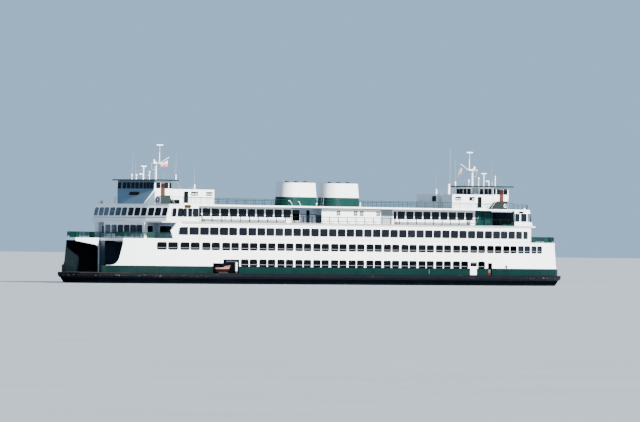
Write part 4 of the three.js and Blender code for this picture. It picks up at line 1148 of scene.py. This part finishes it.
def build_blocks():
    """Officers' blocks: windows with blinds, doors, handrails, and the right block's end wall."""
    windows, doors, rails = Windows(), Soup(), Soup()
    near = on_wall_y(-4.0)
    for x0, x1 in BLOCK_WINDOWS:
        windows.add(rounded(x0, x1, *BLOCK_WINDOW_Z, 0.1, 2), near, rim=0, seal_width=0.07)
        middle = (x0 + x1) / 2
        windows.blind((middle + 0.08, x1 - 0.14), BLIND_Z, near)
        if x0 < 32:
            windows.blind((x0 + 0.14, middle - 0.08), BLIND_Z, near)
    for x0, x1 in BLOCK_DOORS:
        doors.slab(rounded(x0, x1, *BLOCK_DOOR_Z, 0.1, 2), -0.02, 0.03, near)
    windows.add(rounded(-0.42, 0.5, 13.92, 14.83, 0.1, 2), on_wall_x(28.7, -1))
    for x0, x1, z in BLOCK_HANDRAILS:
        rails.bar((x0, -4.12, z), (x1, -4.12, z), 0.03)
        count = max(2, round((x1 - x0) / 1.4))
        for i in range(count + 1):
            x = x0 + (x1 - x0) * i / count
            rails.bar((x, -4.12, Z_BRIDGE), (x, -4.12, z), 0.022, 5)
            rails.bar((x, -4.12, z), (x, -3.98, z), 0.022, 5)
    x, (y0, y1) = BLOCK_LADDER["x"], BLOCK_LADDER["y"]
    for y in (y0, y1):
        rails.bar((x, y, Z_BRIDGE), (x, y, BLOCK_LADDER["top"]), 0.035, 5)
    for i in range(BLOCK_LADDER["rungs"]):
        z = BLOCK_LADDER["first"] + BLOCK_LADDER["pitch"] * i
        rails.bar((x, y0, z), (x, y1, z), 0.022, 5)
    windows.make("block_window", white)
    doors.twin().make("block_doors", seal)
    rails.twin().make("block_handrails", grey)


# Rails: posts with rails between, along a line of points in plan.
FORK_RAIL = {"height": 0.95, "rails": 3, "spacing": 1.3, "balusters": 0.09}
FORK_END_X, FORK_INNER_Y, RAIL_INSET = 51.85, 4.45, 0.15
# Closed panels on the forks' rails: the side, and from x to x.
FORK_PANELS = ((-1, 42.5, 44.2), (-1, 47.6, 50.96), (1, 46.6, 48.05))
BRIDGE_RAIL = [(-41.5, -9.35), (-38.0, -9.75), (-30.0, -10.3), (30.0, -10.3), (37.5, -9.8)]
LOUNGE_ROOF_RAIL = [(37.5, -9.8), (41.4, -9.3), (43.2, -7.9)]
STAIRS = (((-38.95, 12.9), (-40.0, 14.2)), ((37.4, 12.95), (38.7, 14.2)))


def rail(soup, points, z0, height, rails, spacing, r_post=0.035, r_rail=0.024, top=0.034, balusters=0.0):
    """Posts and rails along a path; balusters is their spacing, or 0 for none."""
    for a, b in zip(points, points[1:]):
        a, b = Vector(a), Vector(b)
        length = (b - a).length
        count = max(1, round(length / spacing))
        for i in range(count + 1):
            p = a.lerp(b, i / count)
            soup.bar((p.x, p.y, z0), (p.x, p.y, z0 + height), r_post, 5)
        for i in range(rails):
            z = z0 + height * (i + 1) / rails
            r = top if i == rails - 1 else r_rail
            soup.bar((a.x, a.y, z), (b.x, b.y, z), r, 5)
        if balusters:
            for i in range(1, int(length / balusters)):
                p = a.lerp(b, i * balusters / length)
                soup.bar((p.x, p.y, z0 + height / rails), (p.x, p.y, z0 + height), 0.015, 4)


def build_rails():
    dark, greens, meshes, pale, lounge_roof = Soup(), Soup(), Soup(), Soup(), Soup()
    # Promenades: dark posts inside the sun deck's edge.
    edge = [(x, side_y(x, 43.9, -0.12)) for x in stations_between(-38.4, 37.2)]
    rail(dark, edge, Z_SUN, 1.01, 3, 100.0, r_rail=0.016, top=0.06)
    for i in range(36):
        x = PROMENADE_START + PROMENADE_PITCH * (i - 1)
        y = side_y(x, 43.9, -0.12)
        dark.bar((x, y, Z_SUN), (x, y, Z_SUN + 1.0), 0.07)
    # Round the cabin deck's forks, with closely set balusters.
    for side in (-1, 1):
        line = [(x, side * (half_breadth(x) - RAIL_INSET)) for x in (44.0, 46.4, 50.0, FORK_END_X)]
        end = (FORK_END_X, side * FORK_INNER_Y)
        rail(greens, line + [end], Z_CABIN, **FORK_RAIL)
        rail(greens, [end, (46.3, side * FORK_INNER_Y)], Z_CABIN, **FORK_RAIL)
    rail(greens, [(46.25, -FORK_INNER_Y), (46.25, FORK_INNER_Y)], Z_CABIN, **FORK_RAIL)
    for side, x0, x1 in FORK_PANELS:
        y0, y1 = (side * (half_breadth(x) - RAIL_INSET) for x in (x0, x1))
        plan = ((x0, y0), (x1, y1), (x1, y1 - side * 0.03), (x0, y0 - side * 0.03))
        meshes.loft([[(x, y, z) for x, y in plan] for z in (Z_CABIN + 0.04, Z_CABIN + 1.0)])
    # Along the bridge deck's edge and round the right lounge's roof.
    rail(greens, BRIDGE_RAIL, Z_BRIDGE, 1.0, 4, 2.12, r_post=0.03, r_rail=0.02)
    rail(lounge_roof, LOUNGE_ROOF_RAIL, Z_BRIDGE, 0.8, 3, 1.2, r_post=0.028, r_rail=0.016, top=0.028)
    lounge_roof.make("lounge_roof_rail", rail_dark)
    for (x0, z0), (x1, z1) in STAIRS:
        for lift in (0.0, 0.45):
            for y in (-4.4, -5.0):
                pale.bar((x0, y, z0 + lift), (x1, y, z1 + lift), 0.02, 5)
    dark.twin().make("dark_rails", rail_dark)
    greens.twin().make("green_rails", mesh_green)
    meshes.twin().make("fork_mesh_panels", mesh_green)
    pale.twin().make("stair_rails", white)


# Fittings on the roofs, masts and bridge deck. Each row is a kind, its x, y, foot and top, and its radius.
ROOF_FITTINGS = [
    ("post", -42.9, 0.75, Z_ROOF, 17.5, 0.13), ("dome", -42.65, 0.0, Z_ROOF, 17.48, 0.2),
    ("horn", -41.55, 0.0, Z_ROOF, 17.6, 0.45), ("dome", -39.62, 0.0, Z_ROOF, 18.0, 0.19),
    ("dome", -39.64, 0.12, Z_ROOF, 17.48, 0.19), ("post", -38.2, -4.5, Z_ROOF, 17.45, 0.11),
    ("ball", -40.72, 0.3, Z_ROOF, 18.6, 0.17), ("post", -29.13, 0.0, Z_BLOCK_TOP, 16.0, 0.11),
    ("post", 32.3, 0.0, Z_BLOCK_TOP, 16.9, 0.2), ("post", 39.1, 4.7, Z_ROOF, 17.4, 0.14),
    ("post", 39.3, 1.85, Z_ROOF, 17.75, 0.11), ("dome", 39.7, 0.0, Z_ROOF, 18.1, 0.2),
    ("horn", 41.85, 0.0, Z_ROOF, 17.6, 0.42), ("post", 42.9, -0.2, Z_ROOF, 17.5, 0.1),
    ("post", 42.9, -0.88, Z_ROOF, 18.4, 0.1), ("post", 29.16, 0.0, Z_BLOCK_TOP, 16.0, 0.12),
    ("crane", -13.4, -6.0, Z_BRIDGE, 13.6, 0.45), ("crane", -11.1, -6.0, Z_BRIDGE, 13.5, 0.3),
    ("ball", -6.64, -6.0, Z_BRIDGE, 13.3, 0.16), ("post", 1.65, -8.0, Z_BRIDGE, 13.5, 0.15),
    ("locker", -42.75, 7.85, Z_BRIDGE, 13.2, 0.3), ("locker", 42.9, -7.3, Z_BRIDGE, 13.0, 0.22),
]
# Thin aerials, each from its foot to its tip, with its radius.
WHIPS = [
    ((-42.9, 0.75, 17.5), (-42.6, 0.75, 20.66), 0.02), ((-42.82, 0.0, Z_ROOF), (-42.82, 0.0, 19.4), 0.018),
    ((-38.34, -4.3, Z_ROOF), (-38.2, -4.3, 19.4), 0.018), ((-38.2, -4.5, 17.45), (-37.9, -4.3, 20.45), 0.02),
    ((-38.2, -1.75, Z_ROOF), (-38.2, -1.75, 18.0), 0.02), ((-29.13, 0.0, 16.0), (-29.13, 0.0, 18.9), 0.022),
    ((32.55, 0.0, Z_BLOCK_TOP), (32.55, 0.0, 22.9), 0.035), ((39.1, 4.7, 17.4), (39.1, 4.7, 21.0), 0.025),
    ((39.2, 2.7, Z_ROOF), (39.2, 2.7, 18.0), 0.02), ((42.9, -0.1, Z_ROOF), (42.9, -0.1, 21.2), 0.018),
    ((29.05, 0.0, 16.0), (29.05, 0.0, 18.8), 0.022),
]
MAST_X, MAST_RUNGS, RUNG_FOOT, RUNG_PITCH = 38.15, 9, 16.9, 0.27
MAST_LAMP = [(0.08, 0), (0.17, 0.12), (0.17, 0.5), (0.1, 0.62)]


def add_fitting(soup, kind, x, y, z0, z1, r):
    """One fitting, by kind."""
    height = z1 - z0
    if kind == "post":
        soup.lathe((x, y, z0), [(r, 0), (r, height * 0.94), (r * 0.7, height)], 10)
    elif kind == "dome":
        soup.lathe((x, y, z0), [(r * 0.7, 0), (r * 0.4, 0.1), (r * 0.4, height - 2 * r + 0.05)], 10)
        soup.ball((x, y, z1 - r), r)
    elif kind == "horn":
        soup.bar((x + r, y, z0), (x + r, y, z1), 0.11)
        soup.bar((x - r, y, z1 - 0.14), (x + r, y, z1 - 0.14), 0.13, 10, 0.07)
    elif kind == "crane":
        soup.path([(x + 2 * r, y, z0), (x + 2 * r, y, z0 + 0.3), (x + r, y, z1 - 0.1), (x, y, z1)], 0.06)
    elif kind == "ball":
        soup.bar((x, y, z0), (x, y, z1 - r), 0.05)
        soup.ball((x, y, z1 - r), r)
    else:
        soup.box((x - r, x + r), (y - r, y + r), (z0, z1))


def build_fittings():
    pale, dark, thin, board = Soup(), Soup(), Soup(), Soup()
    for row in ROOF_FITTINGS:
        add_fitting(pale, *row)
    for foot, tip, r in WHIPS:
        thin.bar(foot, tip, r, 5, r * 0.6)
    # Masts: rungs, a platform with a lamp and its bracket, the radar stand's head, and stays.
    for side in (-1, 1):
        for i in range(MAST_RUNGS):
            z = RUNG_FOOT + RUNG_PITCH * i
            pale.bar((side * MAST_X - 0.3, 0.05, z), (side * MAST_X + 0.3, 0.05, z), 0.022, 5)
        pale.box(sorted((side * 37.0, side * 39.05)), (-0.35, 0.35), (19.2, 19.28))
        pale.lathe((side * 38.6, 0, 19.27), MAST_LAMP, 10)
        thin.path([(side * 38.5, 0, 18.2), (side * 39.15, 0, 18.25), (side * 39.15, 0, 19.21)], 0.04)
        thin.bar((side * 37.35, 0, 21.1), (side * 37.35, 0, 22.05), 0.11, 8)
        for y in (-3.9, 3.9):
            thin.bar((side * 42.7, y, Z_ROOF), (side * 38.2, y * 0.05, 19.15), 0.012, 4)
    # Signal lamp stack by the left landing, a lamp over the right lounge, and a slanted stay.
    for i in range(3):
        x = -38.85 + 0.58 * i
        dark.box((x, x + 0.46), (-4.5, -4.18), (12.75, 13.45))
    dark.plate((38.65, 39.92), (12.12, 12.4), (-0.05, 0.1), RIGHT_LOUNGE_WALL)
    thin.bar((-37.6, -4.1, 16.43), (-36.44, -4.0, 15.2), 0.025)
    pale.make("roof_fittings", white, smooth=True)
    thin.make("aerials_and_stays", whip_grey)
    dark.make("dark_lamps", seal)
    # Bare oval board on the left lounge's side.
    board.slab(rounded(-41.4, -40.2, 12.1, 12.6, 0.22, 5), -0.02, 0.12, LEFT_LOUNGE_WALL)
    board.make("lounge_side_board", olive)


# Exhaust tips of the right funnel: x, y and radius. The ladder leans from its foot to its top.
EXHAUSTS = ((3.9, -0.7, 0.16), (4.1, 0.8, 0.18), (6.2, 0.75, 0.2), (6.4, -0.8, 0.16))
LADDER = {"foot_x": 1.12, "top_x": 1.45, "top": 16.55, "half": 0.25}
LADDER_RUNGS = {"count": 12, "first": 12.95, "pitch": 0.3}


def build_funnel_tops():
    """Small exhaust tips inside the funnels' rims, and a ladder."""
    pipes, ladders = Soup(), Soup()
    for x, y, r in EXHAUSTS:
        pipes.lathe((x, y, 16.08), [(r, 0), (r, 0.6), (r * 0.8, 0.6), (r * 0.8, 0.4)], 12)
    half = LADDER["half"]
    for y in (-half, half):
        ladders.bar((LADDER["foot_x"], y, Z_BRIDGE), (LADDER["top_x"], y, LADDER["top"]), 0.03, 5)
    lean = (LADDER["top_x"] - LADDER["foot_x"]) / (LADDER["top"] - Z_BRIDGE)
    for i in range(LADDER_RUNGS["count"]):
        z = LADDER_RUNGS["first"] + LADDER_RUNGS["pitch"] * i
        x = LADDER["foot_x"] + lean * (z - Z_BRIDGE)
        ladders.bar((x, -half, z), (x, half, z), 0.022, 5)
    pipes.twin().make("exhaust_tips", soot)
    ladders.twin().make("funnel_ladders", grey)


# Flags: cloth hung from the halyard by one edge, waved by turning its heading along the fly, which
# runs to the left. Sag and swing are angles at the cloth's top and bottom.
FLAG_FLY, FLAG_HOIST = 1.9, 1.0
FLAG_COLUMNS, FLAG_ROWS = 60, 16
FLAGS = {
    "flag_left": {
        "hoist": (-35.4, 19.75), "mast": "mast_left",
        "sag": (0.40, 0.05), "swing": (0.55, 0.55), "waves": 1.3,
    },
    "flag_right": {
        "hoist": (35.45, 19.65), "mast": "mast_right",
        "sag": (0.98, 0.75), "swing": (1.25, 1.4), "waves": 3.0,
    },
}


def build_flag(node, form):
    mesh = bpy.data.meshes.new(node + "_cloth")
    verts, faces, cloth = [], [], []
    step = FLAG_FLY / FLAG_COLUMNS
    for r in range(FLAG_ROWS + 1):
        v = r / FLAG_ROWS
        x, y, z = form["hoist"][0], 0.0, form["hoist"][1] - FLAG_HOIST * v
        sag, swing = (top + (bottom - top) * v for top, bottom in (form["sag"], form["swing"]))
        for c in range(FLAG_COLUMNS + 1):
            u = c / FLAG_COLUMNS
            verts.append(Vector((x, y, z)) * SCALE)
            cloth.append((u, v))
            grow = min(1.0, 4 * u + 0.2)
            turn = swing * grow * math.cos(2 * math.pi * (form["waves"] * u + 0.25 * v) + 0.8)
            fall = sag * min(1.0, 0.5 + u)
            x -= step * math.cos(turn) * math.cos(fall)
            z -= step * math.cos(turn) * math.sin(fall)
            y += step * math.sin(turn)
    across = FLAG_COLUMNS + 1
    for r in range(FLAG_ROWS):
        for c in range(FLAG_COLUMNS):
            a = r * across + c
            faces.append((a, a + 1, a + across + 1, a + across))
    mesh.from_pydata(verts, [], faces)
    layer = mesh.uv_layers.new(name="cloth")
    for loop in mesh.loops:
        layer.data[loop.index].uv = cloth[loop.vertex_index]
    mesh.shade_smooth()
    mesh.materials.append(flag_mat)
    obj = bpy.data.objects.new(node + "_cloth", mesh)
    bpy.context.scene.collection.objects.link(obj)
    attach(obj, "ship")
    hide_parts(node)


# Camera: the photograph's view, from its place beside the ship, with the photograph's framing.
CAMERA = {
    "focal_px": 7928.088, "distance": 1299.678, "angle": 0.8231457, "centre_x": 316.679, "horizon_y": 251.769,
    "height": 5.335, "roll": 0.0105526, "width": 640, "frame_height": 422, "sensor_mm": 36.0,
}


def build_camera():
    c, s = math.cos(CAMERA["angle"]), math.sin(CAMERA["angle"])
    level_right, ahead, up = Vector((c, -s, 0)), Vector((s, c, 0)), Vector((0, 0, 1))
    right = (level_right + up * CAMERA["roll"]).normalized()
    above = (up - level_right * CAMERA["roll"]).normalized()
    off_x = (CAMERA["width"] / 2 - CAMERA["centre_x"]) / CAMERA["focal_px"]
    off_y = (CAMERA["horizon_y"] - CAMERA["frame_height"] / 2) / CAMERA["focal_px"]
    forward = (ahead + right * off_x + above * off_y).normalized()
    right = (right - forward * right.dot(forward)).normalized()
    above = right.cross(forward)
    data = bpy.data.cameras.new("camera")
    data.sensor_width = CAMERA["sensor_mm"]
    data.lens = CAMERA["focal_px"] / CAMERA["width"] * CAMERA["sensor_mm"]
    data.clip_start, data.clip_end = 1.0, 5000.0
    camera = bpy.data.objects.new("camera", data)
    bpy.context.scene.collection.objects.link(camera)
    place = -ahead * CAMERA["distance"] * SCALE + up * CAMERA["height"] * SCALE
    rows = [(r, a, -f, p) for r, a, f, p in zip(right, above, forward, place)]
    camera.matrix_world = Matrix((*rows, (0, 0, 0, 1)))
    bpy.context.scene.camera = camera


# Studio: a pale floor at the waterline, a broad sun and an even sky.
FLOOR_HALF, FLOOR_COLOURS = 9000, ((0.28, 0.30, 0.33), (0.30, 0.32, 0.35))
SUN_TOWARDS = (0.143, -0.879, 0.454)
SUN = {"energy": 17.0, "angle": math.radians(5.0), "color": (1.0, 0.98, 0.95)}
SKY = {"Color": (0.45, 0.70, 1.0, 1), "Strength": 0.84}


def build_studio():
    floor = Soup()
    floor.box((-FLOOR_HALF, FLOOR_HALF), (-FLOOR_HALF, FLOOR_HALF), (-0.5, 0.0))
    m = Mat("floor", 0.9, specular=0.2)
    m.colour(m.mottled(*FLOOR_COLOURS, 0.8, 3.0))
    mesh = bpy.data.meshes.new("floor")
    mesh.from_pydata([Vector(v) * SCALE for v in floor.verts], [], floor.faces)
    mesh.materials.append(m.mat)
    obj = bpy.data.objects.new("floor", mesh)
    sun = bpy.data.lights.new("sun", "SUN")
    for name, value in SUN.items():
        setattr(sun, name, value)
    lamp = bpy.data.objects.new("sun", sun)
    lamp.rotation_euler = Vector(SUN_TOWARDS).to_track_quat("Z", "Y").to_euler()
    for made in (obj, lamp):
        bpy.context.scene.collection.objects.link(made)
    world = bpy.data.worlds.new("studio")
    world.use_nodes = True
    for name, value in SKY.items():
        world.node_tree.nodes["Background"].inputs[name].default_value = value
    bpy.context.scene.world = world


build_ports()
build_hull_side()
build_boat_fittings()
build_cabin_windows()
build_lounges()
build_promenades()
build_shelter()
build_wheelhouses()
build_blocks()
build_rails()
build_fittings()
build_funnel_tops()
for flag_name, flag_form in FLAGS.items():
    build_flag(flag_name, flag_form)
build_camera()
build_studio()
